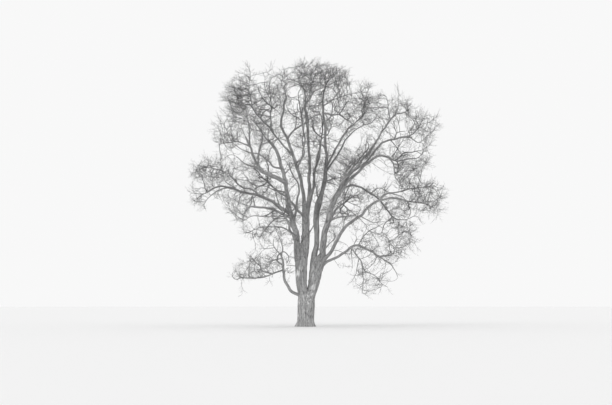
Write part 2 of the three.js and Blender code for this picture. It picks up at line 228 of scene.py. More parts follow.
class LimbReader:
    """Reads the middle lines and thicknesses of the frame's limbs back from their solids."""

    WELD = 1e-4
    STEP = 0.1
    # The flat end of a limb has at least this many corners, and faces that turn less than this apart.
    FEWEST_CORNERS = 6
    FLATNESS = 0.99995
    # A limb's first stretch is carried straight back at most this far, in so many steps, to meet its parent's
    # middle. A place further back has to be nearer by this share of its distance.
    LONGEST_ROOT = 2.5
    ROOT_STEPS = 60
    FARNESS = 0.15

    # The trunk's middle, foot and top, across the front view, and its radius.
    TRUNK_FOOT = 0.03
    TRUNK_TOP = 0.13
    TRUNK_RADIUS = 0.6

    # Limbs that end in a fork. What grows from them runs down inside them, side by side, through points this
    # far down, and is this much thinner there.
    FORKED = ("trunk", "left_stem", "right_stem", "centre_stem", "right_bough")
    RUN_DOWN = (1.5, 0.75)
    SUNK_SHARE = 0.88
    # The low limb leaves the trunk almost level, from this height.
    LOW_LIMB = "low_left_riser"
    LOW_LIMB_HEIGHT = 2.15

    # Each limb of the frame and the limb it grows from.
    PARENTS = {
        "left_stem": "trunk", "right_stem": "trunk", "centre_stem": "left_stem",
        "left_bough": "left_stem", "far_left_bough": "left_bough", "far_left_upper_bough": "far_left_bough",
        "left_inner_bough": "left_bough", "left_shoulder_bough": "left_bough", "lower_left_bough": "left_bough",
        "front_bough": "left_stem", "back_left_bough": "centre_stem", "low_left_riser": "trunk",
        "low_left_arm": "low_left_riser", "upper_left_leader": "centre_stem",
        "upper_left_bough": "upper_left_leader", "upper_left_spur": "upper_left_bough",
        "front_leader": "upper_left_leader", "centre_leader": "centre_stem", "back_leader": "centre_stem",
        "right_leader": "right_stem", "right_bough": "right_stem", "right_long_bough": "right_stem",
        "low_right_bough": "right_stem", "low_right_arm": "low_right_bough", "right_arch_bough": "right_bough",
        "right_mid_bough": "right_bough", "right_shoulder_bough": "right_bough",
        "front_right_bough": "right_bough", "right_drooping_bough": "right_bough",
        "back_right_bough": "right_bough", "right_upper_bough": "right_leader",
        "right_centre_bough": "right_leader",
    }

    def __init__(self) -> None:
        """Starts with the trunk's middle line, and reads the other limbs, parents first."""
        low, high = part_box("trunk")
        ends = np.array([(self.TRUNK_FOOT, 0.0, low.z), (self.TRUNK_TOP, 0.0, high.z)])
        self.limbs = {"trunk": Limb("trunk", ends, np.full(2, self.TRUNK_RADIUS)).stepped(self.STEP)}
        for number, (name, parent) in enumerate(self.PARENTS.items()):
            self.limbs[name] = self.read(name, self.limbs[parent]).gnarled(number)

    def read(self, name: str, parent: Limb) -> Limb:
        """Reads one limb.

        Args:
            name: its node.
            parent: the limb it grows from, already read.

        Returns:
            The limb, from its parent's middle line to its tip.
        """
        bm = bmesh.new()
        bm.from_mesh(frame["nodes"][name].data)
        bmesh.ops.remove_doubles(bm, verts=bm.verts, dist=self.WELD)
        line = parent.points

        def gap(vert: bmesh.types.BMVert) -> float:
            """Gives a vertex's distance from the parent's middle line."""
            return float(np.linalg.norm(line - np.array(vert.co), axis=1).min())

        cap = self.cap_at(max(bm.verts, key=gap))
        seen = set(cap)
        ring = {vert for vert in cap if any(edge.other_vert(vert) not in seen for edge in vert.link_edges)}
        sides = len(ring)
        centres, radii = [], []
        while len(ring) == sides:
            places = np.array([vert.co for vert in ring])
            centres.append(places.mean(axis=0))
            radii.append(np.linalg.norm(places - centres[-1], axis=1).mean())
            ring = {edge.other_vert(vert) for vert in ring for edge in vert.link_edges} - seen
            seen |= ring
        bm.free()
        centres = np.array(centres[::-1])
        radii = np.array(radii[::-1])
        if name == self.LOW_LIMB:
            roots = parent.points[np.abs(parent.points[:, 2] - self.LOW_LIMB_HEIGHT).argmin()][None]
        elif parent.name in self.FORKED:
            roots = self.run_down(parent, centres[0], radii[0])
        else:
            roots = self.root_on(parent, centres)[None]
        growth = (radii[0] - radii[1]) / np.linalg.norm(centres[0] - centres[1])
        root_radii = radii[0] + growth * np.linalg.norm(centres[0] - roots, axis=1)
        if len(roots) > 1:
            root_radii *= np.linspace(self.SUNK_SHARE, 1.0, len(roots))
        return Limb(
            name, np.vstack((roots, centres)), np.concatenate((root_radii, radii)), parent.name
        ).stepped(self.STEP)

    def run_down(self, parent: Limb, base: np.ndarray, radius: float) -> np.ndarray:
        """Carries a limb down inside a parent that forks, just under the bark on the limb's own side.

        Args:
            parent: the limb it grows from.
            base: the first point of its middle line that could be read.
            radius: its radius there.

        Returns:
            The points that lead up to the base, lowest first.
        """
        near = int(np.linalg.norm(parent.points - base, axis=1).argmin())
        heading = parent.headings()[near]
        aside = base - parent.points[near]
        aside = aside - aside.dot(heading) * heading
        room = max(float(parent.radii[near]) - self.SUNK_SHARE * radius, 0.0)
        aside = aside * min(1.0, room / max(float(np.linalg.norm(aside)), 1e-6))
        leave = int(np.linalg.norm(parent.points + aside - base, axis=1).argmin())
        rows = [max(leave - int(back / self.STEP), 0) for back in self.RUN_DOWN]
        return parent.points[sorted(set(rows))] + aside

    def cap_at(self, corner: bmesh.types.BMVert) -> list[bmesh.types.BMVert]:
        """Finds the flat end of a limb.

        Args:
            corner: a vertex on its rim.

        Returns:
            All vertices of the flat end.
        """
        ends = []
        for start in corner.link_faces:
            faces, queue = {start}, [start]
            while queue:
                face = queue.pop()
                for other in {near for edge in face.edges for near in edge.link_faces} - faces:
                    if other.normal.dot(start.normal) > self.FLATNESS:
                        faces.add(other)
                        queue.append(other)
            ends.append({vert for face in faces for vert in face.verts})
        ends = [end for end in ends if len(end) >= self.FEWEST_CORNERS]
        return list(min(ends, key=self.breadth))

    @staticmethod
    def breadth(verts: set[bmesh.types.BMVert]) -> float:
        """Gives how far apart the vertices of a flat face lie."""
        places = np.array([vert.co for vert in verts])
        return float(np.linalg.norm(places - places.mean(axis=0), axis=1).max())

    def root_on(self, parent: Limb, centres: np.ndarray) -> np.ndarray:
        """Finds where a limb starts on its parent's middle line.

        Args:
            parent: the limb it grows from.
            centres: its middle line as far as it could be read, base first.

        Returns:
            The point of the parent's middle line that its first stretch, carried back, passes nearest.
        """
        back = unit((centres[0] - centres[1])[None])[0]
        steps = np.linspace(0.0, self.LONGEST_ROOT, self.ROOT_STEPS)
        ray = centres[0] + steps[:, None] * back
        gaps = np.linalg.norm(parent.points[None] - ray[:, None], axis=2)
        reach = gaps + self.FARNESS * steps[:, None]
        return parent.points[int(reach.min(axis=0).argmin())]


@dataclass(frozen=True)
class SideBough:
    """A bough too thin for a solid of its own in the frame, along a route that shows in the photograph.

    The route holds across and up on the front view, the depth is that of its tip, and the girth is its
    thickness where it leaves its parent.
    """

    name: str
    parent: str
    girth: float
    depth: float
    route: tuple[tuple[float, float], ...]

    TIP_SHARE = 0.4
    THINNEST_TIP = 0.018
    MOST_OF_PARENT = 0.8

    def limb(self, parent: Limb) -> Limb:
        """Lays the bough out from its parent.

        Args:
            parent: the limb it grows from.

        Returns:
            The bough as a limb.
        """
        start = parent.nearest_seen(self.route[0])
        seen = np.array(self.route)
        run = run_along(seen)
        depths = parent.points[start, 1] + (self.depth - parent.points[start, 1]) * run / run[-1]
        points = placed(np.column_stack((seen, depths)))
        points[0] = parent.points[start]
        base = min(self.girth / 2, parent.radii[start] * self.MOST_OF_PARENT)
        tip = max(base * self.TIP_SHARE, self.THINNEST_TIP)
        radii = base + (tip - base) * run / run[-1]
        return Limb(self.name, points, radii, parent.name).stepped(LimbReader.STEP)


# Each row: name, parent, girth, depth of the tip and route.
SIDE_BOUGHS = {
    "left_side_boughs": (
        ("left_end_riser", "left_bough", 0.15, -3.6,
         ((-2.15, 13.2), (-2.5, 13.5), (-3.1, 14.25), (-3.55, 14.85), (-4.0, 15.4))),
        ("left_end_twist", "left_end_riser", 0.11, -2.4, ((-3.3, 14.5), (-4.0, 14.7), (-4.2, 15.35), (-4.25, 16.15))),
        ("shoulder_inner_riser", "left_shoulder_bough", 0.15, 0.3,
         ((-3.45, 11.7), (-3.5, 12.5), (-3.4, 13.25), (-3.2, 14.25), (-3.3, 14.9))),
        ("shoulder_riser", "left_shoulder_bough", 0.12, 0.5,
         ((-4.1, 13.35), (-4.15, 14.0), (-4.2, 15.0), (-4.4, 15.7))),
        ("shoulder_arm", "left_shoulder_bough", 0.12, 1.2,
         ((-4.1, 13.35), (-4.45, 13.5), (-5.2, 13.7), (-5.8, 13.6), (-6.4, 13.5))),
        ("shoulder_spur", "left_shoulder_bough", 0.13, -1.4,
         ((-3.6, 11.7), (-4.2, 11.95), (-4.8, 12.35), (-5.2, 12.65))),
        ("left_cross", "left_bough", 0.15, -2.0,
         ((-1.8, 11.65), (-2.4, 11.85), (-2.8, 12.25), (-3.4, 12.6), (-4.35, 12.9), (-5.4, 13.6))),
        ("left_level", "left_bough", 0.12, -2.2, ((-1.45, 9.85), (-2.3, 10.15), (-2.95, 10.35), (-3.5, 10.4))),
        ("left_hook", "far_left_bough", 0.1, -1.0, ((-1.8, 8.9), (-2.1, 9.5), (-2.25, 9.95), (-2.05, 10.5))),
        ("far_left_riser", "far_left_bough", 0.1, -1.1, ((-4.95, 10.1), (-5.85, 10.8), (-6.15, 11.5))),
        ("far_left_top", "far_left_upper_bough", 0.11, -0.3,
         ((-5.6, 11.35), (-6.65, 11.65), (-7.55, 11.8), (-8.3, 11.55))),
        ("far_left_droop", "far_left_bough", 0.1, -1.2, ((-5.7, 10.35), (-6.6, 10.0), (-7.2, 9.5), (-7.5, 9.0))),
        ("left_inner_riser", "left_inner_bough", 0.11, -1.8, ((-3.7, 8.85), (-3.85, 9.5), (-3.95, 9.95))),
        ("left_arch", "left_bough", 0.15, -0.9,
         ((-0.8, 6.65), (-1.2, 7.7), (-1.5, 8.05), (-2.15, 7.95), (-2.8, 7.2), (-3.4, 6.5))),
        ("lower_left_end", "lower_left_bough", 0.1, 2.6, ((-2.25, 7.35), (-3.25, 7.3), (-4.1, 7.0), (-4.5, 6.9))),
        ("left_inner_level", "left_inner_bough", 0.1, -2.4, ((-2.3, 8.6), (-2.95, 8.15), (-3.95, 8.15), (-4.8, 7.7))),
        ("low_left_end", "low_left_arm", 0.07, -0.6, ((-4.6, 3.6), (-5.2, 3.5), (-5.4, 3.8))),
        ("low_left_top", "low_left_riser", 0.13, -0.9, ((-1.75, 5.2), (-1.65, 5.8), (-1.8, 6.2), (-2.0, 6.75))),
        ("low_left_top_arm", "low_left_riser", 0.1, -1.4, ((-1.75, 5.25), (-2.35, 6.1), (-2.3, 6.5))),
        ("low_left_mid", "low_left_arm", 0.1, 0.2, ((-2.45, 3.95), (-3.05, 4.05), (-3.4, 4.5), (-3.85, 5.05))),
        ("low_left_loop", "low_left_riser", 0.13, -0.8,
         ((-1.75, 4.5), (-2.05, 4.85), (-1.95, 5.3), (-1.55, 5.5), (-1.2, 5.1), (-1.3, 4.7))),
        ("low_left_cross", "low_left_riser", 0.09, 0.2, ((-1.75, 5.0), (-2.4, 4.8), (-2.75, 4.35))),
        ("stem_shoot", "left_stem", 0.06, -0.5, ((-0.6, 4.4), (-1.1, 4.5), (-1.4, 4.5))),
    ),
    "centre_side_boughs": (
        ("centre_wand", "left_bough", 0.2, -0.9,
         ((-0.75, 7.6), (-0.65, 8.8), (-0.57, 9.5), (-0.5, 10.35), (-0.82, 11.2), (-1.05, 11.7), (-1.15, 12.2))),
        ("centre_wand_end", "centre_wand", 0.09, -1.2, ((-1.05, 11.7), (-1.5, 12.3), (-1.85, 12.4))),
        ("left_to_centre", "left_bough", 0.12, -1.1, ((-1.4, 11.2), (-0.9, 12.0), (-0.75, 12.25))),
        ("upper_left_end", "upper_left_bough", 0.1, -0.6,
         ((-3.85, 16.3), (-4.05, 16.9), (-4.2, 17.65), (-4.1, 18.6))),
        ("leader_fork", "upper_left_leader", 0.1, -2.0, ((-1.4, 17.0), (-1.5, 17.6), (-1.8, 18.2))),
        ("behind_leader", "upper_left_leader", 0.15, 1.3,
         ((-1.2, 14.0), (-0.8, 14.6), (-0.15, 15.05), (0.3, 15.35), (0.8, 15.7), (1.2, 15.75))),
        ("behind_leader_riser", "behind_leader", 0.09, 0.3, ((-0.8, 14.65), (-0.65, 15.55), (-0.9, 16.3))),
        ("inner_wand", "upper_left_leader", 0.12, -0.9,
         ((-0.6, 12.1), (-0.15, 12.55), (0.0, 12.85), (-0.15, 13.7), (-0.1, 14.6), (-0.05, 15.1))),
        ("top_right_fork", "centre_leader", 0.15, 0.8,
         ((0.22, 14.5), (0.22, 15.7), (0.1, 16.45), (0.4, 16.95), (0.8, 17.5), (1.5, 17.8))),
        ("top_fork", "top_right_fork", 0.11, -0.4, ((0.15, 16.7), (0.5, 17.4), (0.6, 17.8), (0.5, 18.95))),
        ("leader_twin", "right_leader", 0.34, 0.7,
         ((0.74, 6.9), (0.76, 7.7), (0.8, 8.4), (0.88, 9.1), (1.15, 9.65), (1.42, 10.2), (1.55, 10.8), (1.6, 11.4))),
        ("centre_right_wand", "centre_leader", 0.26, 0.5,
         ((0.35, 9.2), (0.47, 9.7), (0.58, 10.2), (0.66, 10.95), (0.71, 11.55), (0.88, 12.2), (1.03, 12.65),
          (1.12, 13.2), (1.05, 14.0))),
        ("wand_link", "right_leader", 0.11, 0.2, ((0.95, 9.2), (0.87, 9.8), (0.74, 10.5), (0.7, 11.1))),
        ("leader_hook", "right_leader", 0.12, -0.2, ((1.5, 13.2), (1.2, 13.5), (0.85, 13.45), (0.55, 13.15))),
        ("centre_low_cross", "centre_stem", 0.12, 0.2, ((0.2, 6.5), (0.5, 7.2), (0.75, 7.8))),
    ),
    "right_side_boughs": (
        ("leader_top_arm", "right_leader", 0.11, 2.0, ((1.3, 16.4), (1.85, 16.7), (2.35, 17.2), (2.7, 17.65))),
        ("leader_far_arm", "leader_top_arm", 0.09, 1.4, ((2.05, 16.85), (2.75, 17.1), (3.6, 17.35))),
        ("leader_right_arm", "right_leader", 0.15, 1.0,
         ((1.6, 11.4), (2.15, 12.35), (2.8, 13.5), (3.45, 14.4), (4.3, 14.95), (4.95, 15.1))),
        ("right_upper_riser", "right_upper_bough", 0.09, 1.2, ((4.4, 15.75), (4.5, 16.9), (4.75, 17.65))),
        ("leader_link", "right_leader", 0.12, 0.0, ((1.55, 10.65), (2.2, 10.95), (2.8, 11.05))),
        ("arch_end", "right_arch_bough", 0.12, -1.6,
         ((6.15, 12.5), (6.45, 12.25), (6.75, 11.55), (6.8, 11.1), (7.1, 10.5))),
        ("mid_first_riser", "right_mid_bough", 0.1, 1.6, ((6.65, 13.95), (6.9, 14.4), (7.5, 14.5))),
        ("mid_second_riser", "right_mid_bough", 0.1, 0.5, ((7.4, 14.0), (8.0, 14.25), (8.6, 15.0), (9.05, 15.1))),
        ("mid_end", "right_mid_bough", 0.09, 0.9, ((7.85, 14.0), (8.5, 13.65), (9.1, 14.15))),
        ("mid_droop", "right_mid_bough", 0.09, 0.6, ((6.35, 13.8), (6.9, 13.2), (7.25, 12.65))),
        ("shoulder_first", "right_shoulder_bough", 0.1, -1.2, ((6.45, 15.3), (6.2, 16.15), (6.1, 17.1))),
        ("shoulder_second", "right_shoulder_bough", 0.09, -0.6, ((6.65, 15.55), (6.9, 16.15), (6.95, 17.05))),
        ("shoulder_third", "right_shoulder_bough", 0.09, -1.7, ((6.85, 15.8), (7.5, 15.95), (7.65, 16.9))),
        ("fork_riser", "right_bough", 0.12, -0.4, ((2.8, 10.5), (3.1, 11.4), (3.7, 12.1), (4.3, 12.65))),
        ("droop_end", "right_drooping_bough", 0.12, 1.1, ((6.4, 8.2), (6.75, 7.95), (7.5, 7.9), (8.2, 8.2))),
        ("droop_arm", "right_drooping_bough", 0.09, 0.2, ((4.9, 9.95), (5.55, 10.25), (6.3, 9.9))),
        ("right_inner_arm", "right_bough", 0.14, -0.8, ((1.75, 7.7), (2.45, 8.05), (3.35, 8.15), (4.15, 8.05))),
        ("right_inner_riser", "right_bough", 0.12, -1.4, ((1.75, 7.75), (2.2, 8.6), (2.6, 9.2), (3.35, 9.5))),
        ("long_end", "right_long_bough", 0.1, 0.5, ((8.0, 9.1), (8.9, 9.05), (9.65, 8.7))),
        ("long_thin_twin", "right_stem", 0.12, -0.4, ((1.0, 5.2), (1.9, 6.15), (2.25, 6.5))),
        ("long_snag", "right_long_bough", 0.08, -1.1, ((2.65, 7.0), (2.95, 7.8), (3.05, 8.1))),
        ("long_upper_arm", "right_long_bough", 0.13, 1.0,
         ((5.4, 9.3), (6.0, 9.75), (6.75, 9.9), (7.65, 10.15), (9.1, 10.35))),
        ("long_upper_spur", "long_upper_arm", 0.09, 0.4, ((6.3, 9.8), (7.25, 9.55), (7.8, 9.05))),
        ("long_droop", "right_long_bough", 0.09, 0.5, ((7.6, 9.2), (7.8, 8.3), (7.6, 7.95))),
        ("hanging_end", "droop_end", 0.08, 1.6, ((7.45, 7.9), (7.65, 7.05), (8.0, 6.55))),
        ("long_level_arm", "right_long_bough", 0.08, -1.0, ((4.1, 8.05), (5.05, 7.7), (5.95, 7.75))),
        ("low_right_end", "low_right_bough", 0.12, 0.4, ((5.3, 5.3), (5.95, 4.85), (6.45, 4.5), (6.85, 3.6))),
        ("low_arm_end", "low_right_arm", 0.09, -0.6, ((4.45, 4.1), (5.2, 3.7), (5.65, 3.15), (6.1, 2.9))),
        ("low_arm_left", "low_right_arm", 0.07, -1.6, ((3.9, 4.9), (3.7, 3.85), (3.55, 3.5))),
        ("low_arm_down", "low_right_arm", 0.07, -0.9, ((4.2, 4.5), (4.25, 3.0), (4.2, 2.45))),
        ("low_right_hanger", "low_right_bough", 0.07, -1.8, ((3.45, 5.8), (3.45, 5.05), (3.5, 4.3))),
        ("low_right_riser", "low_right_bough", 0.1, -1.5, ((3.9, 6.0), (4.45, 6.8), (5.25, 7.3), (5.85, 7.65))),
        ("low_riser_droop", "low_right_riser", 0.07, -1.0, ((4.8, 7.0), (5.35, 6.2), (5.5, 5.85))),
        ("low_riser_level", "low_right_riser", 0.07, 0.0, ((4.75, 6.95), (5.65, 6.75), (6.45, 6.2))),
    ),
}


class Grain:
    """Smooth seeded noise in space, for relief that follows the wood."""

    TABLE = 256
    # Brings the noise to about -1 to 1.
    GAIN = 1.6

    def __init__(self, seed: int) -> None:
        """Shuffles the table of slopes."""
        rng = np.random.default_rng(seed)
        self.order = rng.permutation(self.TABLE)
        self.slopes = unit(rng.normal(size=(self.TABLE, 3)))

    def at(self, places: np.ndarray) -> np.ndarray:
        """Gives the noise, from about -1 to 1.

        Args:
            places: rows of x, y, z, in units of one lump.

        Returns:
            One number for each row.
        """
        cell = np.floor(places).astype(int)
        inside = places - cell
        fade = inside ** 3 * (inside * (inside * 6 - 15) + 10)
        total = np.zeros(len(places))
        for corner in np.ndindex(2, 2, 2):
            offset = np.array(corner)
            key = np.zeros(len(places), int)
            for axis in range(3):
                key = self.order[(key + cell[:, axis] + offset[axis]) % self.TABLE]
            slope = np.einsum("ij,ij->i", self.slopes[key], inside - offset)
            total += slope * np.prod(np.where(offset, fade, 1 - fade), axis=1)
        return self.GAIN * total


@dataclass(frozen=True)
class PalePatch:
    """A pale patch on the front of the bark: an oval on the front view."""

    across: float
    up: float
    half_across: float
    half_up: float
    strength: float

    # The patch is full inside, and fades out where the square of the way from its middle comes to this.
    FADED_AT = 1.4

    def shares(self, seen: np.ndarray) -> np.ndarray:
        """Gives the patch's share at places of the front view."""
        reach = ((seen[:, 0] - self.across) / self.half_across) ** 2 + ((seen[:, 1] - self.up) / self.half_up) ** 2
        return self.strength * np.clip(self.FADED_AT - reach, 0.0, 1.0)


# Each row: across, up, half across, half up and strength.
PALE_PATCHES = tuple(PalePatch(*row) for row in (
    (-0.5, 3.93, 0.12, 0.32, 1.0), (-0.22, 4.3, 0.08, 0.14, 0.7), (0.44, 2.42, 0.32, 0.13, 0.6),
    (0.6, 2.85, 0.16, 0.24, 0.5), (0.27, 1.95, 0.14, 0.42, 0.7), (-0.04, 2.15, 0.1, 0.32, 0.5),
    (-0.42, 1.8, 0.08, 0.15, 0.7), (0.02, 0.85, 0.1, 0.5, 0.4), (-0.6, 0.8, 0.07, 0.8, 0.9),
    (0.56, 3.9, 0.08, 0.6, 0.4), (-0.2, 1.3, 0.08, 0.4, 0.35),
))


@dataclass(frozen=True)
class BarkRelief:
    """The ridges and furrows of bark, and the wood's own unevenness under it.

    Lengths that have to do with the bark's pattern are given in ridges.
    """

    ridge: float = 0.085
    ridge_share: float = 0.42
    run: float = 8.0
    depth: float = 0.026
    depth_share: float = 0.1
    furrow_width: float = 0.3
    roundness: float = 0.8
    warp_run: float = 5.0
    warp: tuple[float, float, float] = (1.1, 0.8, 0.0)
    break_run: float = 2.2
    break_width: float = 0.25
    break_depth: float = 0.3
    lump: float = 0.45
    lump_share: float = 0.06
    lump_slimness: float = 0.5
    seed: int = 5

    # Places in the noise, far enough apart that the breaks and the lumps don't follow the ridges.
    BREAKS_AT = 31.7
    LUMPS_AT = 7.3

    def heights(self, along_wood: np.ndarray, radii: np.ndarray) -> tuple[np.ndarray, np.ndarray]:
        """Works out the relief of one limb.

        Args:
            along_wood: rows of places round the limb (two numbers) and along it.
            radii: the limb's radius at each.

        Returns:
            How far each place stands out, and how high it lies between furrow floor, 0, and ridge top, 1.
        """
        ridge = min(self.ridge, self.ridge_share * float(radii.mean()))
        grain = Grain(self.seed)
        warp = grain.at(along_wood / (self.warp_run * ridge))[:, None] * np.array(self.warp)
        slender = along_wood / ridge * np.array([1.0, 1.0, 1 / self.run]) + warp
        plates = np.minimum(np.abs(grain.at(slender)) / self.furrow_width, 1.0) ** self.roundness
        broken = grain.at(along_wood / (self.break_run * ridge) + self.BREAKS_AT)
        breaks = np.minimum(np.abs(broken) / self.break_width, 1.0)
        high = plates * ((1 - self.break_depth) + self.break_depth * breaks)
        depth = np.minimum(self.depth, self.depth_share * radii)
        lumps = grain.at(along_wood / self.lump * np.array([1.0, 1.0, self.lump_slimness]) + self.LUMPS_AT)
        return depth * (high - 1.0) + self.lump_share * radii * lumps, high


@dataclass
class BarkTube:
    """A limb's wood: a closed tube laid along its middle line, swelling where limbs meet, with bark relief.

    Its tip is drawn in over the length closing, or over tip_run radii where that is 0, and its foot is narrowed
    over the length sinking. The offset tells its bark from that of the other limbs.
    """

    limb: Limb
    neighbours: list[Limb]
    relief: BarkRelief
    swell_share: float
    sinking: float
    closing: float
    offset: float
    across: float = 0.014
    along: float = 0.055
    fewest_sides: int = 10
    most_sides: int = 340
    tip_share: float = 0.25
    tip_run: float = 7.0
    sunk_loss: float = 0.6

    # The edges of the pale patches wander this far, in lumps of this size and slimness, and the patches fade
    # as the bark turns away from the front.
    PALE_PATCH_RAGGED = 0.16
    PALE_PATCH_LUMP = 0.16
    PALE_PATCH_SLIMNESS = 0.5
    PALE_PATCH_AT = 3.1
    PALE_PATCH_FADE = 2.5

    # A line that starts out this straight to the left or right has its first side turned up instead.
    TOO_LEVEL = 0.95

    # The swelling is worked out from points this near each other on the other limb, up to so far outside this
    # limb's box, and stands out by this share of its breadth. A thin sample of the skin first tells whether the
    # other limb comes near, with some to spare. The skin is gone through in chunks.
    SWELL_STEP = 0.05
    SWELL_MARGIN = 0.6
    SWELL_RISE = 0.25
    SWELL_SAMPLE = 400
    SWELL_SPARE = 0.3
    CHUNK = 4000

    def straight(self, sides: int, rows: int) -> bmesh.types.BMesh:
        """Makes a straight closed tube, one unit of height to each row.

        Args:
            sides: vertices round it.
            rows: rows of faces along it.

        Returns:
            The tube.
        """
        bm = bmesh.new()
        bmesh.ops.create_circle(bm, cap_ends=False, radius=1.0, segments=sides)
        bmesh.ops.spin(
            bm, geom=bm.edges[:], cent=(0, 0, 0), axis=(0, 0, 1), dvec=(0, 0, 1), angle=0.0, steps=rows,
            use_merge=False, use_duplicate=False,
        )
        ends = bmesh.ops.holes_fill(bm, edges=[edge for edge in bm.edges if edge.is_boundary], sides=0)
        bmesh.ops.poke(bm, faces=ends["faces"])
        bmesh.ops.recalc_face_normals(bm, faces=bm.faces)
        return bm

    def frames(self, points: np.ndarray) -> tuple[np.ndarray, np.ndarray]:
        """Gives two directions square to the line at each point, turning as little as they can.

        Args:
            points: the middle line.

        Returns:
            The first and second directions. The first starts out to the tree's right where it can.
        """
        headings = unit(np.gradient(points, axis=0))
        first = np.empty_like(points)
        side = RIGHT if abs(headings[0, 0]) < self.TOO_LEVEL else UP
        for row, heading in enumerate(headings):
            side = side - side.dot(heading) * heading
            side = side / np.linalg.norm(side)
            first[row] = side
        return first, np.cross(headings, first)

    def reach(self, rows: np.ndarray, turns: np.ndarray, radii: np.ndarray) -> np.ndarray:
        """Gives the wood's radius, without relief, at each place on its skin.

        Args:
            rows: the row of each place.
            turns: its direction round the limb.
            radii: the limb's radius in each row.

        Returns:
            The radius at each place.
        """
        return radii[rows]

    def swell(self, places: np.ndarray, reach: np.ndarray) -> np.ndarray:
        """Works out how far the skin swells towards the limbs it meets.

        Args:
            places: the skin.
            reach: the wood's radius at each place.

        Returns:
            How far each place stands out.
        """
        swelling = np.zeros(len(places))
        for other in self.neighbours:
            near = other.stepped(self.SWELL_STEP)
            low, high = places.min(axis=0) - self.SWELL_MARGIN, places.max(axis=0) + self.SWELL_MARGIN
            inside = np.all((near.points > low) & (near.points < high), axis=1)
            if not inside.any():
                continue
            line, girths = near.points[inside], near.radii[inside]
            blend = self.swell_share * min(float(reach.max()), float(girths.max()))
            sample = places[:: max(1, len(places) // self.SWELL_SAMPLE)]
            if (np.linalg.norm(sample[:, None] - line[None], axis=2) - girths).min() > blend + self.SWELL_SPARE:
                continue
            for start in range(0, len(places), self.CHUNK):
                chunk = slice(start, start + self.CHUNK)
                gaps = (np.linalg.norm(places[chunk, None] - line[None], axis=2) - girths).min(axis=1)
                closeness = np.clip(1.0 - np.abs(gaps) / blend, 0.0, 1.0)
                swelling[chunk] = np.maximum(swelling[chunk], blend * self.SWELL_RISE * closeness ** 2)
        return swelling

    def laid_out(self) -> tuple[np.ndarray, np.ndarray]:
        """Lays the rows of vertices out along the limb.

        Returns:
            The middle line's points and the radii, one for each row.
        """
        limb = self.limb.stepped(self.along)
        run = limb.lengths()
        closing = self.closing or self.tip_run * limb.radii[-1]
        past = np.clip(1 - (run[-1] - run) / closing, 0.0, 1.0)
        radii = limb.radii * np.sqrt(1 - (1 - self.tip_share ** 2) * past ** 2)
        if self.sinking:
            radii = radii * (1 - self.sunk_loss * np.clip(1 - run / self.sinking, 0.0, 1.0) ** 2)
        return limb.points, radii

    def worn(self, places: np.ndarray, outward: np.ndarray, wood: np.ndarray) -> np.ndarray:
        """Works out how much pale patch lies at each place of the bark.

        Args:
            places: the skin.
            outward: the direction out of it at each place.
            wood: each place round and along the limb.

        Returns:
            A share for each place.
        """
        slim = np.array([1.0, 1.0, self.PALE_PATCH_SLIMNESS])
        ragged = Grain(self.relief.seed).at(wood / self.PALE_PATCH_LUMP * slim + self.PALE_PATCH_AT)
        seen = seen_from_front(places) + self.PALE_PATCH_RAGGED * ragged[:, None]
        worn = np.max([patch.shares(seen) for patch in PALE_PATCHES], axis=0)
        return worn * np.clip(-self.PALE_PATCH_FADE * outward[:, 1], 0.0, 1.0)

    def build(self) -> bmesh.types.BMesh:
        """Builds the wood.

        Returns:
            The closed mesh, with the layers that the bark's finish reads: grain, high, girth and that of the pale
            patches.
        """
        points, radii = self.laid_out()
        widest = float(np.median(radii))
        sides = int(np.clip(FULL_TURN * widest / self.across, self.fewest_sides, self.most_sides))
        bm = self.straight(sides, len(points) - 1)
        flat = np.array([vert.co for vert in bm.verts])
        rows = np.clip(np.rint(flat[:, 2]).astype(int), 0, len(points) - 1)
        turns = np.arctan2(flat[:, 1], flat[:, 0])
        on_skin = np.hypot(flat[:, 0], flat[:, 1]) > 0.5
        first, second = self.frames(points)
        outward = np.cos(turns)[:, None] * first[rows] + np.sin(turns)[:, None] * second[rows]
        reach = self.reach(rows, turns, radii)
        skin = points[rows] + outward * reach[:, None]
        run = run_along(points)
        wood = np.column_stack((np.cos(turns) * reach, np.sin(turns) * reach, run[rows] + self.offset))
        heights, high = self.relief.heights(wood, radii[rows])
        reach = reach + heights + self.swell(skin, reach)
        final = points[rows] + outward * (reach * on_skin)[:, None]
        grain_layer = bm.verts.layers.float_vector.new("grain")
        high_layer = bm.verts.layers.float.new("high")
        girth_layer = bm.verts.layers.float.new("girth")
        pale_patch_layer = bm.verts.layers.float.new("worn")
        worn = self.worn(final, outward, wood)
        for index, vert in enumerate(bm.verts):
            vert.co = final[index]
            vert[grain_layer] = wood[index]
            vert[high_layer] = high[index]
            vert[girth_layer] = 2 * radii[rows[index]]
            vert[pale_patch_layer] = worn[index]
        for face in bm.faces:
            face.smooth = True
        return bm


@dataclass
class StemTube(BarkTube):
    """A stem: deeper from front to back at its foot, and flatter where it forks at its top."""

    deepening: float = 0.5
    fading: float = 1.2
    flattening: float = 0.34
    flattened: float = 2.2

    def reach(self, rows: np.ndarray, turns: np.ndarray, radii: np.ndarray) -> np.ndarray:
        """Gives the stem's radius, without relief, at each place on its skin.

        Args:
            rows: the row of each place.
            turns: its direction round the stem.
            radii: the stem's radius in each row.

        Returns:
            The radii of an oval near the stem's ends and of a circle between them.
        """
        rise = rows * self.along
        to_top = np.clip(1 - (rows.max() - rows) * self.along / self.flattened, 0.0, 1.0)
        depth = radii[rows] * (1 + self.deepening * np.exp(-rise / self.fading))
        depth = depth * (1 - self.flattening * to_top ** 2 * (3 - 2 * to_top))
        return 1.0 / np.sqrt((np.cos(turns) / radii[rows]) ** 2 + (np.sin(turns) / depth) ** 2)


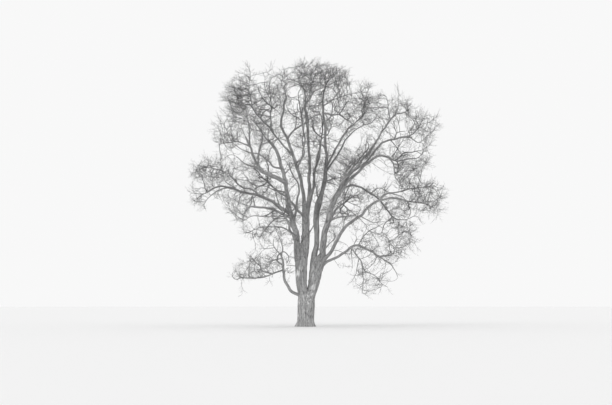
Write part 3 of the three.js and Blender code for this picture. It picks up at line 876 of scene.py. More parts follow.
@dataclass
class TrunkTube(BarkTube):
    """The trunk, with its flares from the frame, drawn in over its shoulder to a low saddle between the stems.

    Its skin is found by rays, sent out at heights that miss the edges of the frame's trunk. It is smoothed over
    some degrees around and some rows along.
    """

    shoulder: float = 1.6
    drawn_in: float = 0.999
    flattening: float = 0.2
    rays: int = 180
    clear_of_edges: float = 0.0037
    below_top: float = 0.01
    around_smoothing: float = 5.0
    along_smoothing: float = 1.2
    smoothing_reach: int = 4

    def laid_out(self) -> tuple[np.ndarray, np.ndarray]:
        """Lays the rows of vertices out along the trunk.

        Returns:
            The middle line's points and a plain radius for each, thinning to the saddle.
        """
        line = self.limb.points
        top = line[-1][2]
        heights = np.linspace(0.0, top, int(round(top / self.along)) + 1)
        points = np.column_stack([np.interp(heights, line[:, 2], line[:, axis]) for axis in range(2)] + [heights])
        past = np.clip(1 - (top - heights) / self.shoulder, 0.0, 1.0)
        return points, self.limb.radii[0] * np.sqrt(1 - self.drawn_in * past ** 2)

    def frames(self, points: np.ndarray) -> tuple[np.ndarray, np.ndarray]:
        """Gives two level directions at each height."""
        return np.tile(RIGHT, (len(points), 1)), np.tile([0.0, 1.0, 0.0], (len(points), 1))

    def measured(self, points: np.ndarray) -> np.ndarray:
        """Measures the frame's trunk.

        Args:
            points: the middle line.

        Returns:
            Its radius, points by directions.
        """
        bm = bmesh.new()
        bm.from_mesh(frame["nodes"]["trunk"].data)
        tree = BVHTree.FromBMesh(bm)
        bm.free()
        directions = np.arange(self.rays) * FULL_TURN / self.rays
        top = self.limb.points[-1][2]
        table = np.empty((len(points), self.rays))
        for row, point in enumerate(points):
            height = min(point[2] + self.clear_of_edges, top - self.below_top)
            for column, turn in enumerate(directions):
                start = Vector((point[0], point[1], height))
                hit = tree.ray_cast(start, Vector((math.cos(turn), math.sin(turn), 0.0)))
                table[row, column] = hit[3] if hit[3] else self.limb.radii[0]
        return table

    def smoothed(self, table: np.ndarray) -> np.ndarray:
        """Smooths measured radii around and along the trunk.

        Args:
            table: the radii, rows by directions.

        Returns:
            The smoothed radii.
        """
        spectrum = np.fft.rfft(table, axis=1)
        waves = np.arange(spectrum.shape[1])
        spread = self.around_smoothing * FULL_TURN / 360
        spectrum *= np.exp(-0.5 * (waves * spread) ** 2)
        table = np.fft.irfft(spectrum, n=self.rays, axis=1)
        far = self.smoothing_reach
        taps = np.arange(-far, far + 1)
        kernel = np.exp(-0.5 * (taps / self.along_smoothing) ** 2)
        padded = np.pad(table, ((far, far), (0, 0)), mode="edge")
        weights = kernel / kernel.sum()
        return sum(weight * padded[far + tap: far + tap + len(table)] for tap, weight in zip(taps, weights))

    def reach(self, rows: np.ndarray, turns: np.ndarray, radii: np.ndarray) -> np.ndarray:
        """Gives the trunk's radius, without relief, at each place on its skin.

        Args:
            rows: the row of each place.
            turns: its direction round the trunk.
            radii: the trunk's plain radius in each row.

        Returns:
            The frame's radii, smoothed, and drawn in towards the saddle.
        """
        points, _ = self.laid_out()
        table = self.smoothed(self.measured(points))
        place = (turns % FULL_TURN) / FULL_TURN * self.rays
        low = np.floor(place).astype(int) % self.rays
        part = place - np.floor(place)
        around = table[rows, low] * (1 - part) + table[rows, (low + 1) % self.rays] * part
        share = radii[rows] / self.limb.radii[0]
        depth = 1 - self.flattening * np.clip(points[rows, 2] / points[-1, 2] * 2 - 1, 0.0, 1.0)
        return around * share / np.sqrt(np.cos(turns) ** 2 + (np.sin(turns) / depth) ** 2)


@dataclass(frozen=True)
class SkyGap:
    """An opening in the crown through which the sky shows, as an oval on the front view."""

    across: float
    up: float
    half_across: float
    half_up: float

    def depth_in(self, seen: np.ndarray) -> np.ndarray:
        """Gives how deep places of the front view lie in the gap: 1 at its middle, 0 at its edge."""
        return 1 - np.hypot((seen[:, 0] - self.across) / self.half_across, (seen[:, 1] - self.up) / self.half_up)


# Each row: across, up, half across and half up.
SKY_GAPS = tuple(SkyGap(*row) for row in (
    (5.45, 11.25, 1.0, 0.8), (7.05, 14.8, 0.8, 0.5), (3.6, 13.8, 0.5, 0.6), (-5.1, 12.65, 0.8, 0.5),
    (-6.8, 8.95, 0.6, 0.7), (3.1, 6.35, 0.8, 0.7), (2.2, 3.2, 0.9, 1.3), (-1.95, 12.7, 0.35, 0.6),
    (-3.8, 6.1, 0.6, 0.3), (-3.05, 8.6, 0.5, 0.3), (3.75, 17.6, 0.2, 0.25), (-1.7, 2.0, 1.6, 1.7),
    (0.0, 13.3, 0.12, 1.2), (-0.8, 17.2, 0.45, 1.4), (1.6, 16.0, 0.6, 0.5), (-3.5, 8.0, 0.6, 0.45),
    (8.3, 13.0, 0.4, 0.35), (2.4, 15.6, 0.6, 0.35), (1.1, 14.7, 0.4, 0.4), (-3.2, 11.9, 0.25, 0.5),
    (-2.4, 10.2, 0.3, 0.3), (-3.2, 18.5, 0.45, 0.5), (6.5, 6.7, 0.35, 0.35), (3.1, 9.0, 0.75, 0.5),
    (-6.0, 14.7, 0.35, 0.35), (4.6, 13.8, 0.35, 0.4), (4.6, 5.25, 0.5, 0.45), (6.0, 16.9, 0.4, 0.4),
    (6.8, 3.05, 0.45, 0.35), (-1.6, 8.4, 0.4, 0.9), (8.1, 8.3, 0.45, 0.35),
))


# This share of the twigs shows in the gaps all the same, and the others end so deep in a gap or short of it.
SHOWN_SHARE = 0.07
RAGGED = (-0.3, 0.6)


def in_sky(points: np.ndarray, rng: np.random.Generator) -> np.ndarray:
    """Tells which places would show against one of the sky gaps, whose edges are ragged.

    Args:
        points: the true places.
        rng: the source of chance.

    Returns:
        True for each place in a gap.
    """
    seen = seen_from_front(points)
    ragged = np.where(rng.random(len(points)) < SHOWN_SHARE, 1.0, rng.uniform(*RAGGED, len(points)))
    hidden = np.zeros(len(points), bool)
    for gap in SKY_GAPS:
        hidden |= gap.depth_in(seen) > ragged
    return hidden


# Where one zone across the crown ends and the next begins.
ZONE_EDGES = (-3.6, -1.2, 1.4, 4.2)


class Zone(Enum):
    """Parts of the crown outside the masses, from left to right, each with its own twigs."""

    FAR_LEFT = "far_left_veil_twigs"
    LEFT = "left_veil_twigs"
    CENTRE = "centre_veil_twigs"
    RIGHT = "right_veil_twigs"
    FAR_RIGHT = "far_right_veil_twigs"

    @classmethod
    def of(cls, across: float) -> "Zone":
        """Gives the part of the crown at a place across."""
        return list(cls)[int(np.searchsorted(ZONE_EDGES, across))]


# How many branches and twigs each mass carries, and how many twigs the zones, against the usual number.
FULLNESS = {
    "top_twigs": 1.5, "top_left_twigs": 0.85, "top_right_twigs": 1.4, "front_top_twigs": 0.55,
    "back_upper_twigs": 0.65, "upper_left_twigs": 1.15, "upper_left_inner_twigs": 0.9,
    "front_left_twigs": 0.7, "left_shoulder_twigs": 0.6, "back_left_twigs": 0.65, "far_left_twigs": 0.8,
    "far_left_low_twigs": 0.7, "left_inner_twigs": 0.62, "lower_left_twigs": 0.45, "front_twigs": 0.7,
    "low_left_twigs": 0.55, "right_centre_twigs": 0.8, "right_upper_twigs": 1.0, "right_shoulder_twigs": 0.62,
    "far_right_upper_twigs": 0.7, "right_mid_twigs": 0.7, "front_right_twigs": 1.0, "far_right_twigs": 0.68,
    "back_right_twigs": 0.75, "right_low_twigs": 0.55, "right_low_inner_twigs": 0.5, "lowest_right_twigs": 0.2,
}
VEIL_FULLNESS = 0.85


@dataclass(frozen=True)
class Clump:
    """A dense tuft of the crown: across and up on the front view, true depth, half sizes and its goals."""

    middle: tuple[float, float, float]
    half: tuple[float, float, float]
    count: int

    def places(self, rng: np.random.Generator) -> np.ndarray:
        """Scatters the tuft's goals."""
        inside = unit(rng.normal(size=(self.count, 3))) * rng.random((self.count, 1)) ** (1 / 3)
        return placed(np.array([self.middle])) + inside * np.array(self.half)


# Each row: middle, half sizes and count.
CLUMPS = tuple(Clump(*row) for row in (
    ((1.15, 19.0, 0.4), (0.8, 1.4, 0.6), 110), ((-2.0, 18.5, 0.0), (0.6, 0.8, 0.6), 45),
    ((2.8, 18.2, 0.3), (0.7, 0.7, 0.6), 65), ((-4.7, 16.9, 0.0), (0.6, 1.4, 0.7), 60),
    ((-1.55, 18.5, 0.0), (0.4, 0.5, 0.8), 45), ((-4.15, 18.6, 0.0), (0.4, 0.4, 1.0), 40),
    ((-2.6, 18.9, 0.2), (0.2, 0.3, 0.6), 14), ((-3.0, 16.3, 0.0), (0.9, 0.8, 0.5), 75),
    ((1.0, 10.2, -0.5), (0.4, 0.5, 0.8), 25), ((9.9, 8.5, 0.3), (0.4, 0.4, 0.6), 25),
    ((0.3, 12.0, 0.3), (2.2, 1.0, 0.6), 75), ((1.75, 11.6, -1.0), (0.8, 1.2, 1.5), 55),
    ((2.9, 12.5, 0.0), (0.5, 1.0, 0.8), 60), ((-6.4, 9.6, 0.0), (0.7, 0.5, 0.7), 35),
    ((1.9, 6.8, 0.2), (0.5, 0.4, 0.8), 25), ((5.2, 9.9, 0.3), (1.0, 0.8, 0.5), 26),
    ((-3.7, 9.8, 0.0), (0.5, 0.4, 0.5), 18), ((-4.7, 11.6, 0.0), (0.4, 0.4, 0.4), 12),
    ((0.6, 11.5, 0.2), (1.2, 0.8, 0.5), 32), ((-5.0, 16.0, 0.0), (0.9, 0.6, 0.6), 36),
    ((7.0, 8.7, 0.5), (0.6, 0.5, 0.5), 24), ((1.2, 8.4, -0.3), (0.7, 0.4, 0.8), 36),
    ((4.8, 8.4, 0.0), (0.8, 0.5, 0.5), 22),
))


@dataclass(frozen=True)
class Hanger:
    """A fine branch that hangs: the places that it passes, across and up on the front view, and its depth."""

    route: tuple[tuple[float, float], ...]
    depth: float
    spacing: float = 0.24
    waver: float = 0.04

    def places(self, rng: np.random.Generator) -> np.ndarray:
        """Gives goals along the branch.

        Args:
            rng: the source of chance.

        Returns:
            Rows of x, y, z.
        """
        route = np.array(self.route)
        run = run_along(route)
        at = np.arange(self.spacing, run[-1] + self.spacing / 2, self.spacing)
        seen = np.column_stack([np.interp(at, run, route[:, axis]) for axis in (0, 1)])
        line = placed(np.column_stack((seen, np.full(len(at), self.depth))))
        return line + rng.normal(scale=self.waver, size=line.shape)


# Each row: route and depth.
HANGERS = tuple(Hanger(*row) for row in (
    (((4.0, 4.75), (3.75, 4.1), (3.45, 3.45), (3.4, 3.2)), -1.5), (((3.85, 4.4), (3.85, 3.9), (3.75, 3.3)), -1.3),
    (((4.25, 4.3), (4.28, 3.3), (4.15, 2.5)), -0.9), (((4.27, 3.5), (4.05, 2.95), (4.0, 2.7)), -0.8),
    (((4.3, 3.6), (4.5, 3.0), (4.55, 2.45)), -1.0), (((4.4, 4.2), (4.7, 3.25), (5.05, 2.5)), -0.7),
    (((4.65, 3.5), (4.75, 2.9), (4.7, 2.5)), -0.5), (((4.9, 3.9), (5.15, 3.2), (5.3, 2.8)), -0.4),
    (((3.5, 5.6), (3.5, 5.0), (3.45, 4.5)), -1.8),
))


@dataclass
class OpenRoom:
    """Scatters the places that branches grow towards: in the masses, and loosely round the outer boughs.

    A mass is filled from its innermost to its outermost share of the way to its skin. A halo reaches out of its
    inner side, which looks to the crown's heart. A veil hangs round limbs thinner than a given radius, but not
    round their bare start.
    """

    spacing: float = 0.41
    innermost: float = 0.3
    outermost: float = 0.93
    halo_share: float = 0.45
    halo_reach: float = 1.9
    heart: tuple[float, float, float] = (0.3, 0.0, 9.5)
    veil_per_metre: float = 4.0
    veil_near: float = 0.25
    veil_far: float = 1.15
    thickest_veiled: float = 0.13
    bare_start: int = 8
    deepening: float = 1.35
    deepest: float = 7.3

    def deepened(self, points: np.ndarray, middle: float) -> np.ndarray:
        """Spreads places from front to back. They show where they did on the front view.

        Args:
            points: the places.
            middle: the depth that they spread from.

        Returns:
            The new places.
        """
        depths = np.clip(middle + (points[:, 1] - middle) * self.deepening, -self.deepest, self.deepest)
        return placed(np.column_stack((seen_from_front(points), depths)))

    def in_mass(self, name: str, rng: np.random.Generator) -> tuple[np.ndarray, np.ndarray]:
        """Scatters places in one mass, and loosely round its inner side.

        Args:
            name: its node.
            rng: the source of chance.

        Returns:
            The places in the mass and those round it, as rows of x, y, z.
        """
        bm = bmesh.new()
        bm.from_mesh(frame["nodes"][name].data)
        volume = bm.calc_volume()
        corners = np.array([[vert.co for vert in face.verts] for face in bm.faces])
        bm.free()
        middle = (corners.reshape(-1, 3).max(axis=0) + corners.reshape(-1, 3).min(axis=0)) / 2
        areas = np.linalg.norm(np.cross(corners[:, 1] - corners[:, 0], corners[:, 2] - corners[:, 0]), axis=1)
        count = int(abs(volume) / self.spacing ** 3 * FULLNESS[name])
        face = rng.choice(len(areas), count, p=areas / areas.sum())
        shares = rng.dirichlet((1.0, 1.0, 1.0), count)
        skin = np.einsum("ij,ijk->ik", shares, corners[face])
        way = (self.innermost ** 2 + rng.random(count) * (self.outermost ** 2 - self.innermost ** 2)) ** 0.5
        inside = middle + (skin - middle) * way[:, None]
        halo = rng.choice(count, int(count * self.halo_share), replace=False)
        reach = (1.0 + rng.random(len(halo)) * (self.halo_reach ** 2 - 1.0)) ** 0.5
        around = middle + (skin[halo] - middle) * reach[:, None]
        heart = np.array(self.heart)
        inner = np.linalg.norm(around - heart, axis=1) < np.linalg.norm(middle - heart)
        return self.deepened(inside, middle[1]), self.deepened(around[inner], middle[1])

    def round_limb(self, limb: Limb, rng: np.random.Generator) -> np.ndarray:
        """Scatters places round the thinner part of a limb.

        Args:
            limb: the limb.
            rng: the source of chance.

        Returns:
            Rows of x, y, z.
        """
        thin = np.flatnonzero(limb.radii < self.thickest_veiled)
        thin = thin[thin > self.bare_start]
        count = int(len(thin) * LimbReader.STEP * self.veil_per_metre)
        if not count:
            return np.empty((0, 3))
        start = limb.points[rng.choice(thin, count)]
        reach = rng.uniform(self.veil_near, self.veil_far, (count, 1))
        return start + unit(rng.normal(size=(count, 3))) * reach


@dataclass
class Branches:
    """Branches that grow on from the limbs towards goals in open room, a short step at a time.

    Each goal in sight calls on the place nearest to it until a branch arrives. A new step follows the calls, and
    partly the old heading, upwards and chance. It is left out where another stands within a share of a step.
    """

    limbs: dict[str, Limb]
    seed: int = 11
    step: float = 0.16
    arrival: float = 0.26
    sight: float = 1.7
    inertia: float = 0.7
    lift: float = 0.12
    waver: float = 0.38
    crowded_share: float = 0.5
    most_children: int = 3
    rounds: int = 70
    tip_radius: float = 0.0135
    pipe_power: float = 2.1
    share_of_limb: float = 0.7

    places: np.ndarray = field(init=False)
    headings: np.ndarray = field(init=False)
    parents: np.ndarray = field(init=False)
    zones: np.ndarray = field(init=False)
    radii: np.ndarray = field(init=False)
    rooted: int = field(init=False)

    def __post_init__(self) -> None:
        """Takes the limbs' points as the places that branches may start from."""
        carriers = [limb for limb in self.limbs.values() if limb.name != "trunk"]
        self.places = np.vstack([limb.points for limb in carriers])
        self.headings = np.vstack([limb.headings() for limb in carriers])
        self.radii = np.concatenate([limb.radii for limb in carriers])
        self.parents = np.full(len(self.places), -1)
        self.zones = np.full(len(self.places), -1)
        self.rooted = len(self.places)

    def grow(self, goals: np.ndarray, goal_zones: np.ndarray) -> None:
        """Grows branches until most goals are reached.

        Args:
            goals: the places to grow towards.
            goal_zones: the zone of each.
        """
        rng = np.random.default_rng(self.seed)
        nearest = np.full(len(goals), -1)
        gaps = np.full(len(goals), np.inf)
        alive = np.ones(len(goals), bool)
        children = np.full((len(self.places), self.most_children), -1)
        fresh = np.arange(len(self.places))
        for _ in range(self.rounds):
            self.look_again(goals, np.flatnonzero(alive), fresh, nearest, gaps)
            alive &= gaps > self.arrival
            calling = np.flatnonzero(alive & (gaps < self.sight))
            if not len(calling):
                break
            sources, first_call = np.unique(nearest[calling], return_index=True)
            heading = self.called_to(goals[calling], nearest[calling], sources, rng)
            sprouts = self.places[sources] + self.step * heading
            kids = children[sources]
            crowding = np.linalg.norm(self.places[kids] - sprouts[:, None], axis=2)
            full = np.all(kids >= 0, axis=1)
            crowded = np.any((kids >= 0) & (crowding < self.crowded_share * self.step), axis=1) | full
            stuck = sources[crowded]
            alive[calling[np.isin(nearest[calling], stuck)]] = False
            sources, sprouts, heading = sources[~crowded], sprouts[~crowded], heading[~crowded]
            zone = goal_zones[calling[first_call[~crowded]]]
            fresh = np.arange(len(self.places), len(self.places) + len(sources))
            slot = (children[sources] >= 0).sum(axis=1)
            children[sources, slot] = fresh
            children = np.vstack((children, np.full((len(fresh), self.most_children), -1)))
            self.places = np.vstack((self.places, sprouts))
            self.headings = np.vstack((self.headings, heading))
            self.parents = np.concatenate((self.parents, sources))
            self.zones = np.concatenate((self.zones, zone))
            if not len(fresh):
                break
        self.thicken()

    def look_again(
        self, goals: np.ndarray, open_goals: np.ndarray, fresh: np.ndarray, nearest: np.ndarray, gaps: np.ndarray
    ) -> None:
        """Lets the goals look for a nearer place among the new ones.

        Args:
            goals: all goals.
            open_goals: the numbers of those that no branch has reached.
            fresh: the numbers of the new places.
            nearest: the number of each goal's nearest place, which is brought up to date.
            gaps: the distance to it, which is brought up to date.
        """
        tree = KDTree(len(fresh))
        for index, place in zip(fresh, self.places[fresh]):
            tree.insert(place, int(index))
        tree.balance()
        for goal in open_goals:
            _, index, gap = tree.find(goals[goal])
            if gap < gaps[goal]:
                gaps[goal], nearest[goal] = gap, index

    def called_to(
        self, calls: np.ndarray, heard_at: np.ndarray, sources: np.ndarray, rng: np.random.Generator
    ) -> np.ndarray:
        """Works out the directions that called places grow in.

        Args:
            calls: the goals that call.
            heard_at: the number of the place that each calls on.
            sources: the numbers of the called places.
            rng: the source of chance.

        Returns:
            A direction for each called place.
        """
        pull = np.zeros_like(self.places)
        np.add.at(pull, heard_at, unit(calls - self.places[heard_at]))
        return unit(
            unit(pull[sources]) + self.inertia * self.headings[sources] + self.lift * UP
            + self.waver * rng.normal(size=(len(sources), 3))
        )

    def thicken(self) -> None:
        """Gives each step of a branch the thickness that carries all that grows beyond it."""
        load = np.zeros(len(self.places))
        for index in range(len(self.places) - 1, self.rooted - 1, -1):
            load[index] = load[index] or 1.0
            load[self.parents[index]] += load[index]
        grown = self.tip_radius * load[self.rooted:] ** (1 / self.pipe_power)
        limb_radii = self.radii
        self.radii = np.concatenate((limb_radii, grown))
        for index in range(self.rooted, len(self.places)):
            parent = self.parents[index]
            share = self.share_of_limb if parent < self.rooted else 1.0
            self.radii[index] = max(min(self.radii[index], share * self.radii[parent]), self.tip_radius)

    def paths(self) -> list[np.ndarray]:
        """Follows the thickest way on from every start.

        Returns:
            One row of indices for each branch, from the point that it leaves to its tip.
        """
        main_child: dict[int, int] = {}
        for index in range(self.rooted, len(self.places)):
            parent = int(self.parents[index])
            if parent >= self.rooted:
                rival = main_child.get(parent)
                if rival is None or self.radii[index] > self.radii[rival]:
                    main_child[parent] = index
        led = set(main_child.values())
        ways = []
        for index in range(self.rooted, len(self.places)):
            if index in led:
                continue
            way = [int(self.parents[index]), index]
            while way[-1] in main_child:
                way.append(main_child[way[-1]])
            ways.append(np.array(way))
        return ways


@dataclass(frozen=True)
class Rod:
    """A straight closed rod with a pointed end, made once and bent into many copies."""

    sides: int
    rows: int

    @cached_property
    def shape(self) -> tuple[np.ndarray, np.ndarray, np.ndarray, np.ndarray]:
        """Makes the rod.

        Returns:
            For each vertex its row, its turn round the rod and 1 or 0 for skin or tip, and the triangles.
        """
        bm = bmesh.new()
        bmesh.ops.create_circle(bm, cap_ends=True, radius=1.0, segments=self.sides)
        bmesh.ops.spin(
            bm, geom=bm.edges[:], cent=(0, 0, 0), axis=(0, 0, 1), dvec=(0, 0, 1), angle=0.0, steps=self.rows,
            use_merge=False, use_duplicate=False,
        )
        end = [vert for vert in bm.verts if vert.co.z > self.rows - 0.5]
        bmesh.ops.pointmerge(bm, verts=end, merge_co=(0, 0, self.rows))
        bmesh.ops.triangulate(bm, faces=bm.faces)
        bmesh.ops.recalc_face_normals(bm, faces=bm.faces)
        bm.verts.index_update()
        flat = np.array([vert.co for vert in bm.verts])
        faces = np.array([[vert.index for vert in face.verts] for face in bm.faces])
        bm.free()
        return (
            np.rint(flat[:, 2]).astype(int), np.arctan2(flat[:, 1], flat[:, 0]),
            (np.hypot(flat[:, 0], flat[:, 1]) > 0.5).astype(float), faces,
        )

    def bent(self, lines: np.ndarray, radii: np.ndarray) -> tuple[np.ndarray, np.ndarray]:
        """Lays a copy along each of many lines.

        Args:
            lines: their points, copies by rows by x, y, z.
            radii: their radii, copies by rows.

        Returns:
            All vertices, and the triangles between them.
        """
        rows, turns, skin, faces = self.shape
        headings = unit(np.gradient(lines, axis=1))
        aside = np.where(np.abs(headings[:, :1, 2:]) < TOO_NEAR, UP, RIGHT)
        side = np.broadcast_to(aside, headings[:, :1].shape)[:, 0]
        first = np.empty_like(lines)
        for row in range(lines.shape[1]):
            heading = headings[:, row]
            side = unit(side - np.sum(side * heading, axis=1, keepdims=True) * heading)
            first[:, row] = side
        second = np.cross(headings, first)
        outward = np.cos(turns)[:, None] * first[:, rows] + np.sin(turns)[:, None] * second[:, rows]
        verts = lines[:, rows] + outward * (skin * radii[:, rows])[:, :, None]
        shift = np.arange(len(lines))[:, None, None] * len(rows)
        return verts.reshape(-1, 3), (faces[None] + shift).reshape(-1, 3)


@dataclass
class RodPile:
    """Gathers bent rods for one piece."""

    verts: list[np.ndarray] = field(default_factory=list)
    faces: list[np.ndarray] = field(default_factory=list)
    tones: list[np.ndarray] = field(default_factory=list)
    count: int = 0

    def add(self, rod: Rod, lines: np.ndarray, radii: np.ndarray, tones: np.ndarray) -> None:
        """Adds a copy of a rod along each line.

        Args:
            rod: the rod.
            lines: their points.
            radii: their radii.
            tones: the number of the finish of each copy.
        """
        verts, faces = rod.bent(lines, radii)
        self.verts.append(verts)
        self.faces.append(faces + self.count)
        self.tones.append(np.repeat(tones, len(rod.shape[3])))
        self.count += len(verts)

    def mesh(self, name: str) -> bpy.types.Mesh:
        """Joins all copies into one mesh.

        Args:
            name: the mesh's name.

        Returns:
            The mesh, with a finish number on every face.
        """
        verts, faces, tones = np.vstack(self.verts), np.vstack(self.faces), np.concatenate(self.tones)
        mesh = bpy.data.meshes.new(name)
        mesh.vertices.add(len(verts))
        mesh.vertices.foreach_set("co", verts.astype(np.float32).ravel())
        mesh.loops.add(faces.size)
        mesh.loops.foreach_set("vertex_index", faces.astype(np.int32).ravel())
        mesh.polygons.add(len(faces))
        mesh.polygons.foreach_set("loop_start", np.arange(0, faces.size, 3, dtype=np.int32))
        mesh.polygons.foreach_set("material_index", tones.astype(np.int32))
        mesh.update(calc_edges=True)
        return mesh


@dataclass
class TwigWork:
    """Turns branches into rods and sets twigs on the thin ones, and spurs on the twigs.

    Twigs stand on a step of a branch by chance, and a few at its end, which lean less and start a little before
    its pointed tip. Their tips keep inside a box and above a lowest height. Pairs of numbers are the least and
    most of an even chance.
    """

    branches: Branches
    zone_names: list[str]
    fullness: np.ndarray
    low: np.ndarray
    high: np.ndarray
    seed: int = 23
    easings: int = 2
    sides: tuple[tuple[float, int], ...] = ((0.03, 7), (0.015, 5), (0.0, 3))
    branch_end: float = 0.8
    per_step: float = 0.9
    at_end: int = 2
    end_back: float = 0.3
    end_lean: float = 0.5
    thickest_bearer: float = 0.032
    turn_scatter: float = 0.4
    lean: float = 0.78
    lean_scatter: float = 0.2
    twig_lengths: tuple[float, float] = (0.35, 0.9)
    twig_radius: float = 0.0072
    twig_girths: tuple[float, float] = (0.75, 1.2)
    twig_rows: int = 3
    end_share: float = 0.5
    spur_places: tuple[float, ...] = (0.2, 0.4, 0.6, 0.8)
    spur_turn_scatter: float = 0.5
    spur_rows: int = 2
    spur_share: float = 0.45
    spur_taper: float = 1.25
    spur_lengths: tuple[float, float] = (0.7, 1.35)
    spur_girth: float = 0.7
    curl: float = 0.3
    curl_up: float = 0.8
    curl_out: float = 0.35
    curl_waver: float = 0.55
    tones: int = 4
    lowest: float = 1.3

    ways: list[np.ndarray] = field(init=False)

    def __post_init__(self) -> None:
        """Follows the branches."""
        self.ways = self.branches.paths()

    def smoothed(self) -> np.ndarray:
        """Eases the branches' sharpest corners.

        Returns:
            Their places, in the same order.
        """
        places = self.branches.places.copy()
        for way in self.ways:
            line = places[way]
            for _ in range(self.easings):
                line[1:-1] = (line[:-2] + 2 * line[1:-1] + line[2:]) / 4
            places[way[1:]] = line[1:]
        return places

    def build(self) -> dict[str, RodPile]:
        """Builds the rods of every zone.

        Returns:
            A pile for each zone's name.
        """
        places = self.smoothed()
        piles = {name: RodPile() for name in self.zone_names}
        self.lay_branches(places, piles)
        self.lay_twigs(places, piles)
        return piles

    def lay_branches(self, places: np.ndarray, piles: dict[str, RodPile]) -> None:
        """Adds a rod for every branch.

        Args:
            places: the branches' places.
            piles: the piles to add to.
        """
        groups: dict[tuple[int, int, int], list[np.ndarray]] = {}
        for way in self.ways:
            radius = self.branches.radii[way[1]]
            sides = next(sides for least, sides in self.sides if radius >= least)
            groups.setdefault((int(self.branches.zones[way[-1]]), sides, len(way) - 1), []).append(way)
        for (zone, sides, rows), ways in groups.items():
            index = np.array(ways)
            radii = self.branches.radii[index]
            radii[:, 0] = radii[:, 1]
            radii[:, -1] = radii[:, -2] * self.branch_end if rows > 1 else radii[:, -1]
            piles[self.zone_names[zone]].add(Rod(sides, rows), places[index], radii, np.zeros(len(index), int))

    def lay_twigs(self, places: np.ndarray, piles: dict[str, RodPile]) -> None:
        """Adds twigs and spurs along the thin branches.

        Args:
            places: the branches' places.
            piles: the piles to add to.
        """
        rng = np.random.default_rng(self.seed)
        bases, headings, bearers, ends = [], [], [], []
        for way in self.ways:
            line = places[way]
            run = unit(np.gradient(line, axis=0))
            for row in range(1, len(way)):
                node = way[row]
                if self.branches.radii[node] > self.thickest_bearer:
                    continue
                count = rng.poisson(self.per_step * self.fullness[self.branches.zones[node]])
                last = row == len(way) - 1
                for number in range(count + self.at_end * last):
                    at_end = last and number < self.at_end
                    back = self.end_back if at_end else rng.random()
                    bases.append(line[row] - back * (line[row] - line[row - 1]))
                    headings.append(run[row])
                    bearers.append(node)
                    ends.append(at_end)
        bases, headings, bearers = np.array(bases), np.array(headings), np.array(bearers)
        count = len(bases)
        turn = np.arange(count) * GOLDEN_TURN + rng.normal(0, self.turn_scatter, count)
        lean = rng.normal(self.lean, self.lean_scatter, count) * np.where(ends, self.end_lean, 1.0)
        length = rng.uniform(*self.twig_lengths, count)
        twigs = self.arcs(bases, self.turned(headings, turn, lean), length, self.twig_rows, rng)
        radius = self.twig_radius * rng.uniform(*self.twig_girths, count)
        tip = twigs[:, -1]
        keep = ~in_sky(tip, rng) & np.all((tip > self.low) & (tip < self.high), axis=1) & (tip[:, 2] > self.lowest)
        twigs, radius, length, bearers = twigs[keep], radius[keep], length[keep], bearers[keep]
        tone = rng.integers(0, self.tones, len(places))[bearers]
        zone = self.branches.zones[bearers]
        log.info("%d twigs, %d kept", count, keep.sum())
        self.pile_up(twigs, radius, tone, zone, piles)
        start_turn = rng.uniform(0, FULL_TURN, len(twigs))
        for number, share in enumerate(self.spur_places):
            spurs = self.spurs(twigs, length, share, start_turn + number * math.pi, rng)
            self.pile_up(spurs, self.spur_girth * radius, tone, zone, piles)

    def spurs(
        self, twigs: np.ndarray, length: np.ndarray, share: float, turn: np.ndarray, rng: np.random.Generator
    ) -> np.ndarray:
        """Sets one spur on every twig, shorter towards the twig's tip.

        Args:
            twigs: the twigs' points, twigs by points by x, y, z.
            length: their lengths.
            share: how far along its twig the spur stands.
            turn: the way round that each leans to.
            rng: the source of chance.

        Returns:
            The spurs' points, spurs by points by x, y, z.
        """
        row = min(int(share * self.twig_rows), self.twig_rows - 1)
        part = share * self.twig_rows - row
        roots = twigs[:, row] * (1 - part) + twigs[:, row + 1] * part
        heading = unit(twigs[:, row + 1] - twigs[:, row])
        turn = turn + rng.normal(0, self.spur_turn_scatter, len(twigs))
        way = self.turned(heading, turn, rng.normal(self.lean, self.lean_scatter, len(twigs)))
        chance = rng.uniform(*self.spur_lengths, len(twigs))
        reach = length * self.spur_share * (self.spur_taper - share) * chance
        return self.arcs(roots, way, reach, self.spur_rows, rng)

    def pile_up(
        self, lines: np.ndarray, radius: np.ndarray, tone: np.ndarray, zone: np.ndarray, piles: dict[str, RodPile]
    ) -> None:
        """Adds a pointed rod along every line to its zone's pile.

        Args:
            lines: the lines, base first.
            radius: the thickness at each one's base.
            tone: the finish number of each.
            zone: the zone of each.
            piles: the piles to add to.
        """
        rows = lines.shape[1] - 1
        girths = radius[:, None] * np.linspace(1.0, self.end_share, rows + 1)
        for number, name in enumerate(self.zone_names):
            mine = zone == number
            if mine.any():
                piles[name].add(Rod(3, rows), lines[mine], girths[mine], tone[mine])

    def turned(self, headings: np.ndarray, turn: np.ndarray, lean: np.ndarray) -> np.ndarray:
        """Gives directions that lean away from the headings.

        Args:
            headings: the directions of what they grow from.
            turn: the way round that each leans to.
            lean: the angle that each leans by.

        Returns:
            The new directions.
        """
        first, second = self.square_to(headings)
        aside = np.cos(turn)[:, None] * first + np.sin(turn)[:, None] * second
        return np.cos(lean)[:, None] * headings + np.sin(lean)[:, None] * aside

